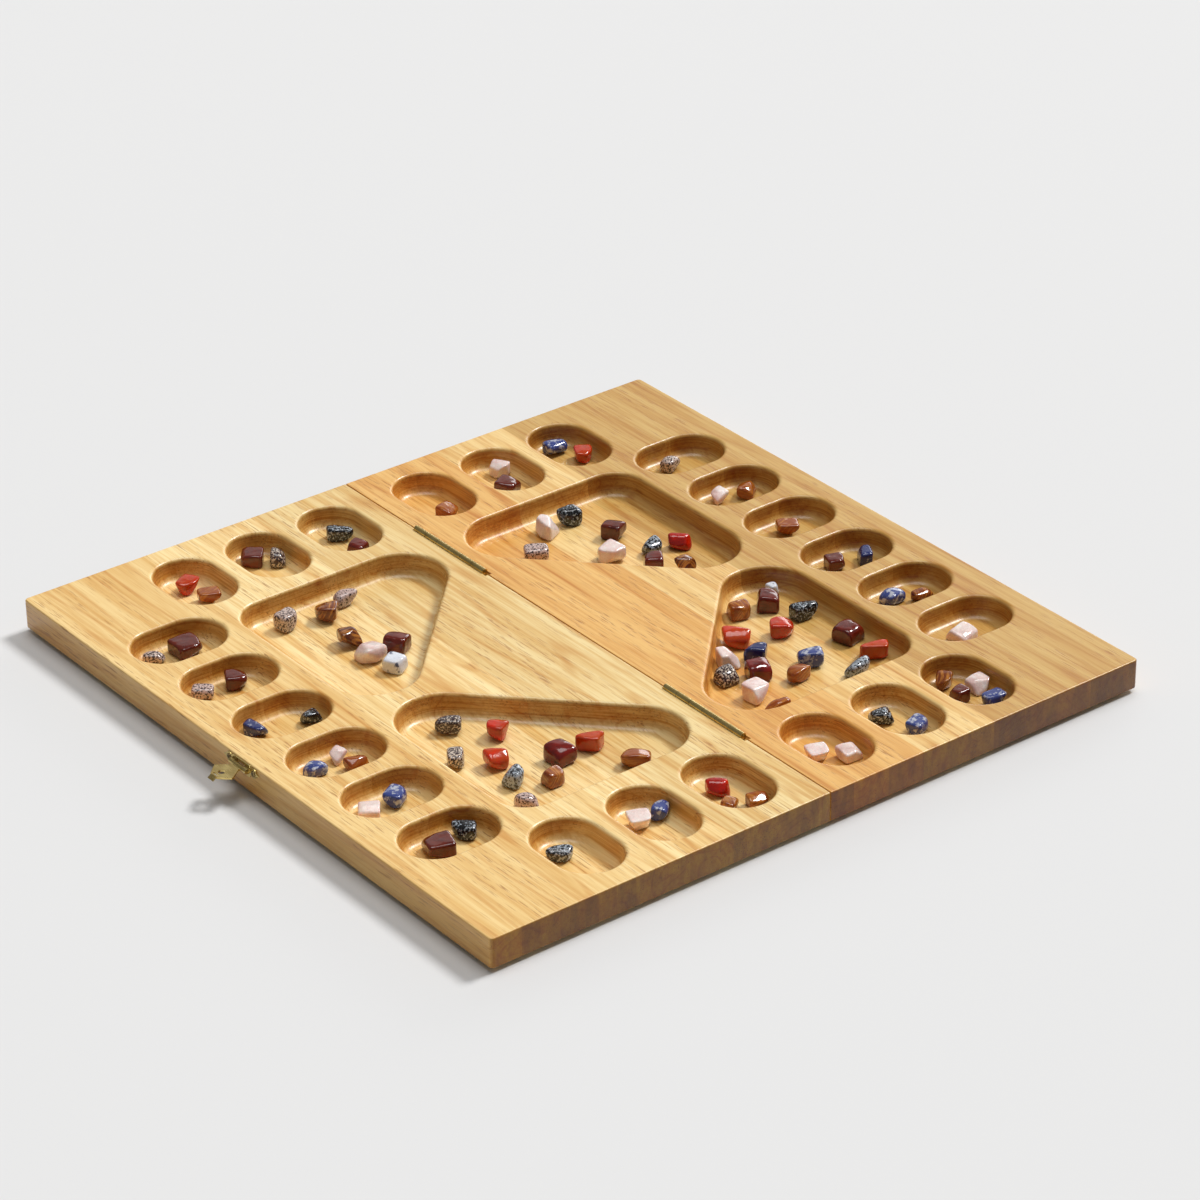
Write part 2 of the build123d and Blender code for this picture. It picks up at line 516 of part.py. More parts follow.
# ---------------------------------------------------------------- assembly
def pieces():
    """Every node of the open board, by name."""
    made = {}
    for side, name in ((1, "base"), (-1, "lid")):
        made[f"{name}_board"] = board(side)
        made[f"{name}_feet"] = feet(side)
        for place, middle in hinge_middles().items():
            made[f"{place}_hinge_{name}_plate"] = hinge_plate(side, middle)
        for mineral in MINERALS:
            made[f"{name}_{mineral}_stones"] = stones(side, mineral)
    for place, middle in hinge_middles().items():
        made[f"{place}_hinge_pin"] = hinge_pin(middle)
    made["clasp_plate"] = clasp_plate()
    made["clasp_pin"] = clasp_pin()
    made["clasp_flap"] = clasp_flap()
    made["catch_plate"] = catch_plate()
    made["catch_stud"] = catch_stud()
    return {name: as_solids(shape) for name, shape in made.items()}


def as_solids(shape):
    """The node's solids alone, with no empty wrappers around them."""
    parts = shape if isinstance(shape, list) else [shape]
    return [solid for part in parts for solid in part.solids()]


def main():
    os.makedirs("parts", exist_ok=True)
    made = {name: solids for name, solids in pieces().items() if solids}
    # The origin is on the table, under the middle of the whole open board with its clasp.
    middle = Compound([solid for solids in made.values() for solid in solids]).bounding_box().center()
    for name, solids in made.items():
        export_step(Pos(-middle.X, -middle.Y, 0) * Compound(solids), f"parts/{name}.step")


main()
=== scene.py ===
# %% [markdown]
# # A folding mancala board
# Two routed rubberwood boards hinge at a seam. Open, they make one square playing board with pits
# and stores full of polished stones; shut, they make a flat box with a brass clasp. The solid model
# fixes every size and every joint. It is loaded first, because each piece made here rides on one of
# its bodies: base, lid or flap.

# %% Load the solid model
import json
import math

import bmesh
import bpy
from mathutils import Matrix, Vector


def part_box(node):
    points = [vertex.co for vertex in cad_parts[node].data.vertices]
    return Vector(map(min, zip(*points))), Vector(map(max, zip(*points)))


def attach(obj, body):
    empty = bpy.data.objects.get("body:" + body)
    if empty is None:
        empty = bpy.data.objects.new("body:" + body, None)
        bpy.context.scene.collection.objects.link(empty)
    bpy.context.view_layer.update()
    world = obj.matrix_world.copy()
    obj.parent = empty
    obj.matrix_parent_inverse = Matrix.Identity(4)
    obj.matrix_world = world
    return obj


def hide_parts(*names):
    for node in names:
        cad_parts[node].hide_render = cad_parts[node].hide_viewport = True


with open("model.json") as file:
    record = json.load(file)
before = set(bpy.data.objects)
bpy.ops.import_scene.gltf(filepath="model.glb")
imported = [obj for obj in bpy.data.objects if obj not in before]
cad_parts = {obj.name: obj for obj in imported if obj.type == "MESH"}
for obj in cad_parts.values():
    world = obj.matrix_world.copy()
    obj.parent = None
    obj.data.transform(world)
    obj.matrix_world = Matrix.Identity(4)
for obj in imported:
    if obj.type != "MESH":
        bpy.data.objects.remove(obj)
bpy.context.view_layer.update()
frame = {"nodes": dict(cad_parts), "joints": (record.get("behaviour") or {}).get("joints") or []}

# %% [markdown]
# ## Places
# Everything is in metres in the solid model's own frame. The seam, the faces and the two axes could
# be typed in as numbers, but those would hold only until a size changed. So they are read from the
# model, and nothing made here can drift away from it.

# %% Read the places that everything else hangs on
MM = 0.001
lid_low, lid_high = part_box("lid_board")
base_low, base_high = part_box("base_board")
SEAM = (lid_high[0] + base_low[0]) / 2
SEAM_EDGE = (base_low[0] - lid_high[0]) / 2  # half the gap at the seam
HALF_SIDE = base_high[1]
BOARD_TOP = base_high[2]
BOARD_BACK = base_low[2]
axis_height = {joint["name"]: joint["pos_m"][2] for joint in frame["joints"]}
print(f"seam at {SEAM / MM:.2f} mm, boards {BOARD_BACK / MM:.1f} to {BOARD_TOP / MM:.1f} mm high")

# %% [markdown]
# ## Helpers for nodes
# Shapes and finishes are both built from nodes and links. They could be drawn by hand in the editor,
# but then no one could read or repeat the recipe. One helper adds a node, and takes either a value
# or another node's output for each socket, which keeps a long recipe short.

# %% Add nodes
def feed(tree, node, sockets):
    """Gives each socket a value, or links it when it is given another node's output."""
    for name, value in sockets.items():
        if isinstance(value, bpy.types.NodeSocket):
            tree.links.new(value, node.inputs[name])
        else:
            node.inputs[name].default_value = value


def put(tree, kind, sockets=None, **settings):
    node = tree.nodes.new(kind)
    for name, value in settings.items():
        setattr(node, name, value)
    feed(tree, node, sockets or {})
    return node


def step(tree, kind, sockets=None, **settings):
    """Adds a node and hands on its first output."""
    return put(tree, kind, sockets, **settings).outputs[0]


def calc(tree, operation, *values):
    return step(tree, "ShaderNodeMath", dict(enumerate(values)), operation=operation)


def vector(tree, operation, *values, **sockets):
    sockets.update(enumerate(values))
    return step(tree, "ShaderNodeVectorMath", sockets, operation=operation)


def parts_of(tree, value):
    return put(tree, "ShaderNodeSeparateXYZ", {0: value}).outputs


print("helpers:", ", ".join(helper.__name__ for helper in (put, step, calc, vector, parts_of)))

# %% [markdown]
# A geometry tree is a small machine: points or an outline go in, and a finished mesh comes out. Its
# sizes are named inputs, so one tree serves many pieces. Every tree ends alike: its copies are made
# real, because an export drops instances, and the result is given its finish. Running a tree leaves
# a plain mesh without a modifier.

# %% Start, end and run a geometry tree
def geometry_tree(name, **sizes):
    """A tree with a geometry in and out and a named input for each size; None makes a material."""
    kinds = {float: "NodeSocketFloat", int: "NodeSocketInt"}
    tree = bpy.data.node_groups.new(name, "GeometryNodeTree")
    tree.interface.new_socket("Geometry", in_out="INPUT", socket_type="NodeSocketGeometry")
    for label, value in sizes.items():
        label = label.replace("_", " ").capitalize()
        kind = kinds.get(type(value), "NodeSocketMaterial")
        socket = tree.interface.new_socket(label, in_out="INPUT", socket_type=kind)
        if value is not None:
            socket.default_value = value
    tree.interface.new_socket("Geometry", in_out="OUTPUT", socket_type="NodeSocketGeometry")
    entry = tree.nodes.new("NodeGroupInput")
    result = tree.nodes.new("NodeGroupOutput")
    return tree, entry.outputs, result.inputs["Geometry"]


def end_tree(tree, geometry, finish, finished):
    real = step(tree, "GeometryNodeRealizeInstances", {"Geometry": geometry})
    skinned = step(tree, "GeometryNodeSetMaterial", {"Geometry": real, "Material": finish})
    tree.links.new(skinned, finished)
    print(tree.name, "tree:", len(tree.nodes), "nodes")


print("tree helpers: geometry_tree, end_tree")

# %% Run a tree on an object
def new_object(name, data):
    made = bpy.data.objects.new(name, data)
    bpy.context.scene.collection.objects.link(made)
    return made


def plain_mesh(piece):
    """What a piece's modifiers make of it, as a mesh of its own."""
    return bpy.data.meshes.new_from_object(piece.evaluated_get(bpy.context.evaluated_depsgraph_get()))


def run_tree(source, tree, name, values):
    modifier = source.modifiers.new("Tree", "NODES")
    modifier.node_group = tree
    for item in tree.interface.items_tree:
        if item.in_out == "INPUT" and item.name in values:
            modifier[item.identifier] = values[item.name]
    shape = plain_mesh(source)
    bpy.data.objects.remove(source)
    print(name, len(shape.polygons), "faces")
    return new_object(name, shape)


print("runners: new_object, plain_mesh, run_tree")

# %% [markdown]
# ## Helpers for finishes
# Patterns that several materials share are shader groups, which hand out only colours, masks and
# heights. Each material could hold a copy of the pattern instead, but then a mend would have to be
# made in all of them. The Principled shader stays in the material, so its constants can be read there.

# %% Start a group or a material
def shader_group(name, inputs, outputs):
    """A shader group; sockets are name: default, and the default gives the kind."""
    tree = bpy.data.node_groups.new(name, "ShaderNodeTree")
    kinds = {1: "NodeSocketFloat", 3: "NodeSocketVector", 4: "NodeSocketColor"}
    for direction, sockets in (("INPUT", inputs), ("OUTPUT", outputs)):
        for label, value in sockets.items():
            kind = kinds[len(value) if isinstance(value, tuple) else 1]
            socket = tree.interface.new_socket(label, in_out=direction, socket_type=kind)
            if direction == "INPUT":
                socket.default_value = value
    return tree, tree.nodes.new("NodeGroupInput").outputs, tree.nodes.new("NodeGroupOutput")


def new_material(name):
    material = bpy.data.materials.new(name)
    material.use_nodes = True
    return material, material.node_tree, material.node_tree.nodes["Principled BSDF"]


print("starters: shader_group, new_material")

# %% Mix colours, spread values and make noise
def mix(tree, factor, first, second, blend="MIX"):
    sockets = {0: factor, 6: first, 7: second}
    return put(tree, "ShaderNodeMix", sockets, data_type="RGBA", blend_type=blend).outputs[2]


def shaded(tree, factor, base, tint):
    """The base colour, darkened by a tint where the factor says."""
    return mix(tree, factor, base, mix(tree, 1.0, base, tint, "MULTIPLY"))


def remap(tree, value, low, high, to_low=0.0, to_high=1.0):
    sockets = {"Value": value, "From Min": low, "From Max": high, "To Min": to_low, "To Max": to_high}
    return step(tree, "ShaderNodeMapRange", sockets)


def noise(tree, place, scale, detail=2.0, roughness=0.5):
    """Noise with a scale of its own along each axis."""
    squeezed = vector(tree, "MULTIPLY", place, scale)
    sockets = {"Vector": squeezed, "Scale": 1.0, "Detail": detail, "Roughness": roughness}
    return step(tree, "ShaderNodeTexNoise", sockets)


def object_place(tree):
    return put(tree, "ShaderNodeTexCoord").outputs["Object"]


def bump(tree, height, strength, distance):
    return step(tree, "ShaderNodeBump", {"Height": height, "Strength": strength, "Distance": distance})


def srgb(red, green, blue):
    """A colour given as 0 to 255 on screen."""
    parts = (red / 255, green / 255, blue / 255)
    linear = [((c + 0.055) / 1.055) ** 2.4 if c > 0.04 else c / 12.92 for c in parts]
    return (*linear, 1.0)


print("mid grey in linear light:", round(srgb(128, 128, 128)[0], 3))

# %% [markdown]
# ## Rubberwood
# Rubberwood is pale, with soft bands, growth lines and short brown pores along the grain. An image
# of wood would smear where a pit cuts into the board. Noise in three dimensions, stretched along the
# grain, is cut by every wall as real wood is, and gives end grain for free. The grain runs along Y,
# and each glued strip reads the noise at a place of its own.

# %% Patterns that run along the grain
wood, given, result = shader_group(
    "rubberwood grain",
    {"Tone": (0.8, 0.6, 0.4, 1.0), "Strip": 0.0},
    {"Color": (1.0, 1.0, 1.0, 1.0), "Roughness": 0.5, "Height": 0.0},
)
STRIP_SHIFT = (0.173, 0.411, 0.067)  # from one strip's noise to the next
LINES = 110.0  # how closely the growth lines follow each other
surface = put(wood, "ShaderNodeTexCoord").outputs
shift = vector(wood, "SCALE", STRIP_SHIFT, Scale=given["Strip"])
along = vector(wood, "ADD", surface["Object"], shift)
bands = noise(wood, along, (110, 6, 90), detail=3.0)
streaks = noise(wood, along, (520, 16, 520), detail=3.0, roughness=0.6)
pores = noise(wood, along, (1250, 75, 1250))
crowd = noise(wood, along, (85, 9, 85))
rings = noise(wood, along, (230, 4, 70))
growth = noise(wood, along, (26, 1.5, 26), detail=1.0)
growth = calc(wood, "SINE", calc(wood, "MULTIPLY", growth, LINES))
in_bands = remap(wood, bands, 0.38, 0.62, 0.2, 1.0)
growth = calc(wood, "MULTIPLY", remap(wood, growth, 0.6, 1.0, 0.0, 0.6), in_bands)
crowded = remap(wood, crowd, 0.36, 0.60, 0.10, 1.0)
dash = calc(wood, "MULTIPLY", remap(wood, pores, 0.57, 0.67), crowded)
print("grain patterns:", len(wood.nodes), "nodes")

# %% [markdown]
# A cut across the fibres drinks in more lacquer and turns darker, and a router leaves faint rings
# round its walls. The outer sides are also darkened with painted shade, and the hollows' walls get a
# warmer tint that is painted shade and painted warm bounce light. Each kind of face could be given a
# material of its own. Masks made from the way a face looks do it within one material, and fade
# softly. Where the router has been, the boards say with an attribute.

# %% Masks for walls, edges and end grain
STICK_WIDTH = 23 * MM  # strips are glued up from narrower sticks, which show at their ends
facing = parts_of(wood, surface["Normal"])
upright = remap(wood, calc(wood, "ABSOLUTE", facing["Z"]), 0.95, 0.35)
across = remap(wood, calc(wood, "ABSOLUTE", facing["Y"]), 0.35, 0.95)
routed = put(wood, "ShaderNodeAttribute", attribute_name="routed").outputs["Fac"]
# Walls of the hollows. Their tint below is painted shade and painted warm bounce light.
in_wall = calc(wood, "MULTIPLY", upright, routed)
# The boards' outer sides. The tint they get below is painted shade.
shaded_outer_side = calc(wood, "MULTIPLY", upright, calc(wood, "SUBTRACT", 1.0, routed))
# End faces. Lacquer makes end grain darker, and their tint also holds painted shade.
end_grain_and_shade = calc(wood, "MULTIPLY", across, shaded_outer_side)
cutter = remap(wood, noise(wood, surface["Object"], (25, 25, 1300)), 0.4, 0.65)
cutter_lines = calc(wood, "MULTIPLY", in_wall, cutter)
end_rings = calc(wood, "MULTIPLY", end_grain_and_shade, remap(wood, rings, 0.40, 0.62, 0.0, 0.8))
stick = calc(wood, "DIVIDE", parts_of(wood, surface["Object"])["X"], STICK_WIDTH)
stick = calc(wood, "ADD", calc(wood, "FLOOR", stick), given["Strip"])
stick_tone = step(wood, "ShaderNodeTexWhiteNoise", {"W": stick}, noise_dimensions="1D")
stick_end = calc(wood, "MULTIPLY", end_grain_and_shade, stick_tone)
stick_in_wall = calc(wood, "MULTIPLY", calc(wood, "MULTIPLY", across, in_wall), stick_tone)
print("with masks:", len(wood.nodes), "nodes")

# %% [markdown]
# The colour starts from a strip's own tone, and each pattern then darkens it a little. Blending
# towards a fixed brown would look painted on; a tint that multiplies keeps the tone underneath, as
# lacquer over wood does. Only the pores have a brown of their own.

# %% Colour, roughness and height of the wood
PORE_BROWN = srgb(160, 98, 40)
PORE_STRENGTH = 0.65


def layered(colour, layers):
    """The colour, shaded by one mask and tint after another."""
    for mask, tint in layers:
        colour = shaded(wood, mask, colour, srgb(*tint))
    return colour


colour = layered(given["Tone"], [
    (remap(wood, bands, 0.36, 0.64, -0.1, 0.75), (234, 212, 172)),
    (remap(wood, streaks, 0.42, 0.64, -0.1, 0.6), (232, 208, 166)),
    (growth, (228, 194, 142)),
])
colour = mix(wood, calc(wood, "MULTIPLY", dash, PORE_STRENGTH), colour, PORE_BROWN)
# The hollows' walls get a warmer tint that is painted shade and painted warm bounce light.
colour = layered(colour, [
    # Painted shade: the outer sides' tint darkens them.
    (in_wall, (255, 238, 206)), (cutter_lines, (226, 200, 160)), (shaded_outer_side, (238, 222, 192)),
    # The end-face tint is the end grain's own darkening together with painted shade.
    (end_grain_and_shade, (192, 166, 52)), (end_rings, (222, 216, 190)),
    (stick_end, (206, 200, 184)), (stick_in_wall, (220, 192, 142)),
])
height = calc(wood, "SUBTRACT", calc(wood, "MULTIPLY", streaks, 0.2), dash)
sheen = remap(wood, streaks, 0.3, 0.8, 0.30, 0.42)
feed(wood, result, {"Color": colour, "Roughness": sheen, "Height": height})
print("rubberwood group:", len(wood.nodes), "nodes")

# %% [markdown]
# Each board is glued up from strips of slightly different wood, under a satin lacquer. A material
# for each strip would need the mesh cut along every joint. One material can draw all of a board's
# strips, because they differ only in tone and in where they read the noise: it counts the glue
# joints between a point and the seam.

# %% Tones of the strips
FIRST_STRIP = {-1: 11.0, 1: 3.0}  # where each board starts to read the noise


def strip_tones(tree, out, strips):
    """The tone at a distance from the seam."""
    node = put(tree, "ShaderNodeValToRGB", {"Fac": calc(tree, "DIVIDE", out, HALF_SIDE)})
    node.color_ramp.interpolation = "CONSTANT"
    stops = node.color_ramp.elements
    while len(stops) < len(strips):
        stops.new(0.5)
    for stop, (start, tone) in zip(stops, strips):
        stop.position = start * MM / HALF_SIDE
        stop.color = srgb(*tone)
    return node.outputs["Color"]


print("first strips read the noise at", FIRST_STRIP)

# %% A finish for each board
def rubberwood(name, side, strips):
    """Lacquered rubberwood; strips are (start in mm from the seam, tone)."""
    material, tree, shader = new_material(name)
    from_seam = calc(tree, "SUBTRACT", parts_of(tree, object_place(tree))["X"], SEAM)
    out = calc(tree, "MULTIPLY", from_seam, float(side))
    strip = FIRST_STRIP[side]
    for start, _ in strips[1:]:
        strip = calc(tree, "ADD", strip, calc(tree, "GREATER_THAN", out, start * MM))
    sockets = {"Tone": strip_tones(tree, out, strips), "Strip": strip}
    grain = put(tree, "ShaderNodeGroup", sockets, node_tree=wood).outputs
    feed(tree, shader, {
        "Base Color": grain["Color"], "Roughness": grain["Roughness"],
        "Normal": bump(tree, grain["Height"], strength=0.25, distance=0.2 * MM),
        "Specular IOR Level": 0.3, "Coat Weight": 0.4, "Coat Roughness": 0.24, "Coat IOR": 1.5,
    })
    return material


PALE, INNER, WARM = (252, 226, 166), (240, 214, 154), (243, 210, 144)
ORANGE, OUTER = (236, 188, 112), (210, 172, 102)
finishes = {
    -1: rubberwood("lacquered_pale_rubberwood", -1, [(0, INNER), (62, PALE), (134, WARM)]),
    1: rubberwood("lacquered_orange_rubberwood", 1, [(0, ORANGE), (61, WARM), (109, OUTER)]),
}
print("finishes:", [finish.name for finish in finishes.values()])

# %% [markdown]
# ## Routing a hollow
# A router leaves the same wall all the way round a hollow: a rounded rim, a nearly upright wall and
# a scooped corner down to a flat floor. A Boolean leaves the rim sharp, and a bevel would have to
# find it again. So the wall is one profile swept round the hollow's outline, and every size of the
# profile is an input.

# %% Sizes of the routed hollows
PIT_LENGTH = 55.4 * MM
PIT_WIDTH = 37.8 * MM
PIT_DEPTH = 12 * MM
PIT_MARGIN = 13.1 * MM
STORE_DEPTH = 13 * MM
STORE_CORNER_RADIUS = 18.9 * MM
STORE_TIP_RADIUS = 26 * MM
RIM_RADIUS = 2.5 * MM
RIM_REACH = 1.5 * MM  # how far the rounded rim runs out past the hollow's outline
SCOOP_RADIUS = 6 * MM
WALL_DRAFT = 0.4 * MM
FLAT_LEAD = 0.3 * MM  # level strip before and after the curved part of a profile
JOIN_REACH = 0.08 * MM  # points nearer than this become one
WALL_STEPS = 8  # points round each corner of the wall's profile
print("pits", PIT_DEPTH / MM, "mm deep, stores", STORE_DEPTH / MM, "mm deep")

# %% Profiles with a radius at each corner
def pick_by_index(tree, kind, values):
    """One value for each point of a profile, chosen by the point's number."""
    switch = put(tree, "GeometryNodeIndexSwitch", data_type=kind)
    while len(switch.index_switch_items) < len(values):
        switch.index_switch_items.new()
    sockets = {"Index": step(tree, "GeometryNodeInputIndex")}
    feed(tree, switch, {**sockets, **dict(enumerate(values, 1))})
    return switch.outputs[0]


def rounded_profile(tree, corners, radii, steps):
    """A line through corners given as X and Y, each rounded by its own radius."""
    corners = [step(tree, "ShaderNodeCombineXYZ", {"X": x, "Y": y}) for x, y in corners]
    line = step(tree, "GeometryNodeMeshLine", {"Count": len(corners)})
    position = pick_by_index(tree, "VECTOR", corners)
    line = step(tree, "GeometryNodeSetPosition", {"Geometry": line, "Position": position})
    line = step(tree, "GeometryNodeMeshToCurve", {"Mesh": line})
    sockets = {"Curve": line, "Count": steps, "Radius": pick_by_index(tree, "FLOAT", radii)}
    return step(tree, "GeometryNodeFilletCurve", sockets, mode="POLY")


def swept(tree, path, profile, reach):
    """A profile swept round a level path, with points nearer than reach made one."""
    upright = step(tree, "GeometryNodeSetCurveNormal", {"Curve": path}, mode="Z_UP")
    skin = step(tree, "GeometryNodeCurveToMesh", {"Curve": upright, "Profile Curve": profile})
    return step(tree, "GeometryNodeMergeByDistance", {"Geometry": skin, "Distance": reach})


print("profile helpers: rounded_profile, swept")

# %% The swept wall
routed_wall, given, finished = geometry_tree(
    "Routed wall", depth=PIT_DEPTH, rim=RIM_RADIUS, scoop=SCOOP_RADIUS, draft=WALL_DRAFT
)
lead = calc(routed_wall, "ADD", RIM_REACH, FLAT_LEAD)
edge = calc(routed_wall, "SUBTRACT", RIM_REACH, given["Rim"])
foot = calc(routed_wall, "SUBTRACT", edge, given["Draft"])
inward = calc(routed_wall, "SUBTRACT", foot, calc(routed_wall, "ADD", given["Scoop"], FLAT_LEAD))
corners = [(lead, 0.0), (edge, 0.0), (foot, given["Depth"]), (inward, given["Depth"])]
radii = [0.0, given["Rim"], given["Scoop"], 0.0]
profile = rounded_profile(routed_wall, corners, radii, WALL_STEPS)
routed_wall.links.new(swept(routed_wall, given["Geometry"], profile, JOIN_REACH), finished)
print("routed wall tree:", len(routed_wall.nodes), "nodes")

# %% [markdown]
# ## The pits
# Twelve pits on each board share one outline, a stadium. Twelve curves could be drawn, but a tree
# can put a copy of one outline on every point it is given, and turn it by the point's own attribute.
# Then a pit is only a point, and the outline is written once.

# %% The tree for a board's pits
def named(tree, label, kind):
    sockets = {"Name": label}
    return put(tree, "GeometryNodeInputNamedAttribute", sockets, data_type=kind).outputs["Attribute"]


def routed_round(tree, outline, sizes):
    """The routed wall swept round an outline, with the tree's own sizes."""
    sockets = {"Geometry": outline, **{label: sizes[label] for label in ("Depth", "Rim", "Scoop")}}
    return step(tree, "GeometryNodeGroup", sockets, node_tree=routed_wall)


END_SHARE = 0.4995  # of the width: what is left between two rounded corners is merged away
CORNER_JOIN = 0.1 * MM
PIT_STEPS = 16  # points round each corner
pit_tree, given, finished = geometry_tree(
    "Pits", length=PIT_LENGTH, width=PIT_WIDTH, depth=PIT_DEPTH, rim=RIM_RADIUS, scoop=SCOOP_RADIUS,
    finish=None,
)
sockets = {"Width": given["Length"], "Height": given["Width"]}
stadium = step(pit_tree, "GeometryNodeCurvePrimitiveQuadrilateral", sockets)
round_end = calc(pit_tree, "MULTIPLY", given["Width"], END_SHARE)
sockets = {"Curve": stadium, "Count": PIT_STEPS, "Radius": round_end}
stadium = step(pit_tree, "GeometryNodeFilletCurve", sockets, mode="POLY")
stadium = step(pit_tree, "GeometryNodeCurveToMesh", {"Curve": stadium})
stadium = step(pit_tree, "GeometryNodeMergeByDistance", {"Geometry": stadium, "Distance": CORNER_JOIN})
stadium = step(pit_tree, "GeometryNodeMeshToCurve", {"Mesh": stadium})
about_z = step(pit_tree, "ShaderNodeCombineXYZ", {"Z": named(pit_tree, "turn", "FLOAT")})
sockets = {"Points": given["Geometry"], "Instance": stadium, "Rotation": about_z}
outlines = step(pit_tree, "GeometryNodeInstanceOnPoints", sockets)
outlines = step(pit_tree, "GeometryNodeRealizeInstances", {"Geometry": outlines})
end_tree(pit_tree, routed_round(pit_tree, outlines, given), given["Finish"], finished)

# %% [markdown]
# ## The stores
# A store is a triangular tray with one square corner and two rounder tips. Its outline could be
# drawn with all its arcs, but three points say enough when each carries its own radius, and a fillet
# rounds them. The wall is the pits' wall, only deeper.

# %% The tree for a board's stores
STORE_STEPS = 20
store_tree, given, finished = geometry_tree(
    "Stores", depth=STORE_DEPTH, rim=RIM_RADIUS, scoop=SCOOP_RADIUS, finish=None
)
own_radius = step(store_tree, "GeometryNodeInputRadius")
sockets = {"Curve": given["Geometry"], "Count": STORE_STEPS, "Radius": own_radius}
tray = step(store_tree, "GeometryNodeFilletCurve", sockets, mode="POLY")
end_tree(store_tree, routed_round(store_tree, tray, given), given["Finish"], finished)

# %% [markdown]
# ## Where the hollows lie
# Each board has six pits along its outer edge, three along each end, and two stores in the field
# they leave. The places could be read from the solid model's mesh, but a few pitches say it all and
# can be understood: that is how a template for the router would be drawn.

# %% Layout of one board
SIDE_PIT_PITCH = 48.3 * MM
END_PIT_START = 32.1 * MM
END_PIT_PITCH = 47.6 * MM
STORE_CORNER = (133.6 * MM, 129.8 * MM)  # square corner, from the seam and from the middle line
STORE_SEAM_LAND = 12.6 * MM
STORE_MIDDLE_LAND = 4.6 * MM
QUARTER = math.pi / 2
edge_row = HALF_SIDE - PIT_MARGIN - PIT_LENGTH / 2


def pit_points(side):
    """Places and turns of a board's pits: six along the outer edge and three along each end."""
    along_side = [(k + 0.5) * SIDE_PIT_PITCH for k in range(-3, 3)]
    along_end = [END_PIT_START + k * END_PIT_PITCH for k in range(3)]
    pits = [(side * edge_row, y, 0.0) for y in along_side]
    pits += [(side * x, end * edge_row, QUARTER) for x in along_end for end in (-1, 1)]
    return [(SEAM + x, y, BOARD_TOP) for x, y, _ in pits], [turn for _, _, turn in pits]


def store_outlines(side):
    """The two triangles of a board, each with its three corner radii, anticlockwise."""
    far_x, far_y = STORE_CORNER
    back = math.sqrt(2) * STORE_TIP_RADIUS
    triangle = [(far_x, far_y), (STORE_SEAM_LAND - back, far_y), (far_x, STORE_MIDDLE_LAND - back)]
    radii = [STORE_CORNER_RADIUS, STORE_TIP_RADIUS, STORE_TIP_RADIUS]
    for end in (-1, 1):
        loop = [(SEAM + side * x, end * y, r) for (x, y), r in zip(triangle, radii)]
        yield loop if side * end > 0 else loop[::-1]


print("pits on a board:", len(pit_points(1)[0]))

# %% Rout both boards' hollows
def point_cloud(name, places, **attributes):
    """Points that carry attributes: a number each, or a vector each."""
    mesh = bpy.data.meshes.new(name)
    mesh.from_pydata(places, [], [])
    for label, values in attributes.items():
        if isinstance(values[0], float):
            mesh.attributes.new(label, "FLOAT", "POINT").data.foreach_set("value", values)
        else:
            flat = [number for value in values for number in value]
            mesh.attributes.new(label, "FLOAT_VECTOR", "POINT").data.foreach_set("vector", flat)
    return new_object(name, mesh)


def store_curves(side):
    curve = bpy.data.curves.new("store_outline", "CURVE")
    curve.dimensions = "3D"
    for loop in store_outlines(side):
        spline = curve.splines.new("POLY")
        spline.points.add(len(loop) - 1)
        spline.use_cyclic_u = True
        for point, (x, y, r) in zip(spline.points, loop):
            point.co = (x, y, BOARD_TOP, 1)
            point.radius = r
    return new_object("store_outline", curve)


hollows = {}
for side, finish in finishes.items():
    places, turns = pit_points(side)
    hollows[side] = (
        run_tree(point_cloud("pit_points", places, turn=turns), pit_tree, "pits", {"Finish": finish}),
        run_tree(store_curves(side), store_tree, "stores", {"Finish": finish}),
    )

# %% [markdown]
# ## The boards
# Each board is a slab with sanded edges. A stack of rings, each a little further round the edge,
# makes its sides, and one triangulated face with holes joins the last ring to the rims of the
# hollows. A bevelled box with Booleans would be quicker, but it can't round the hollows' rims.

# %% How the edges are rounded
FACE_ROUND = 0.9 * MM
BACK_ROUND = 0.7 * MM
SEAM_ROUND = 0.4 * MM
SEAM_BACK_ROUND = 0.3 * MM
CORNER_RADIUS = 2.5 * MM
SEAM_CORNER_RADIUS = 0.7 * MM
EDGE_STEPS = 5
CORNER_STEPS = 8
SMALLEST_ARC = 0.1 * MM
print("corners rounded by", CORNER_RADIUS / MM, "mm")

# %% Rings of a board, from its back to its face
def board_ring(side, inset, seam_inset, level):
    """Closed loop of points round a board, anticlockwise from above."""
    points = []
    corners = [
        (SEAM_EDGE, -HALF_SIDE, 1, 1, seam_inset, SEAM_CORNER_RADIUS, 180),
        (HALF_SIDE, -HALF_SIDE, -1, 1, inset, CORNER_RADIUS, 270),
        (HALF_SIDE, HALF_SIDE, -1, -1, inset, CORNER_RADIUS, 0),
        (SEAM_EDGE, HALF_SIDE, 1, -1, seam_inset, SEAM_CORNER_RADIUS, 90),
    ]
    for x, y, in_x, in_y, inset_x, corner_radius, start in corners:
        arc = max(corner_radius - max(inset_x, inset), SMALLEST_ARC)
        middle = Vector((x + in_x * (inset_x + arc), y + in_y * (inset + arc)))
        for k in range(CORNER_STEPS + 1):
            angle = math.radians(start + 90 * k / CORNER_STEPS)
            point = middle + arc * Vector((math.cos(angle), math.sin(angle)))
            points.append((SEAM + side * point.x, point.y, level))
    return points if side > 0 else points[::-1]


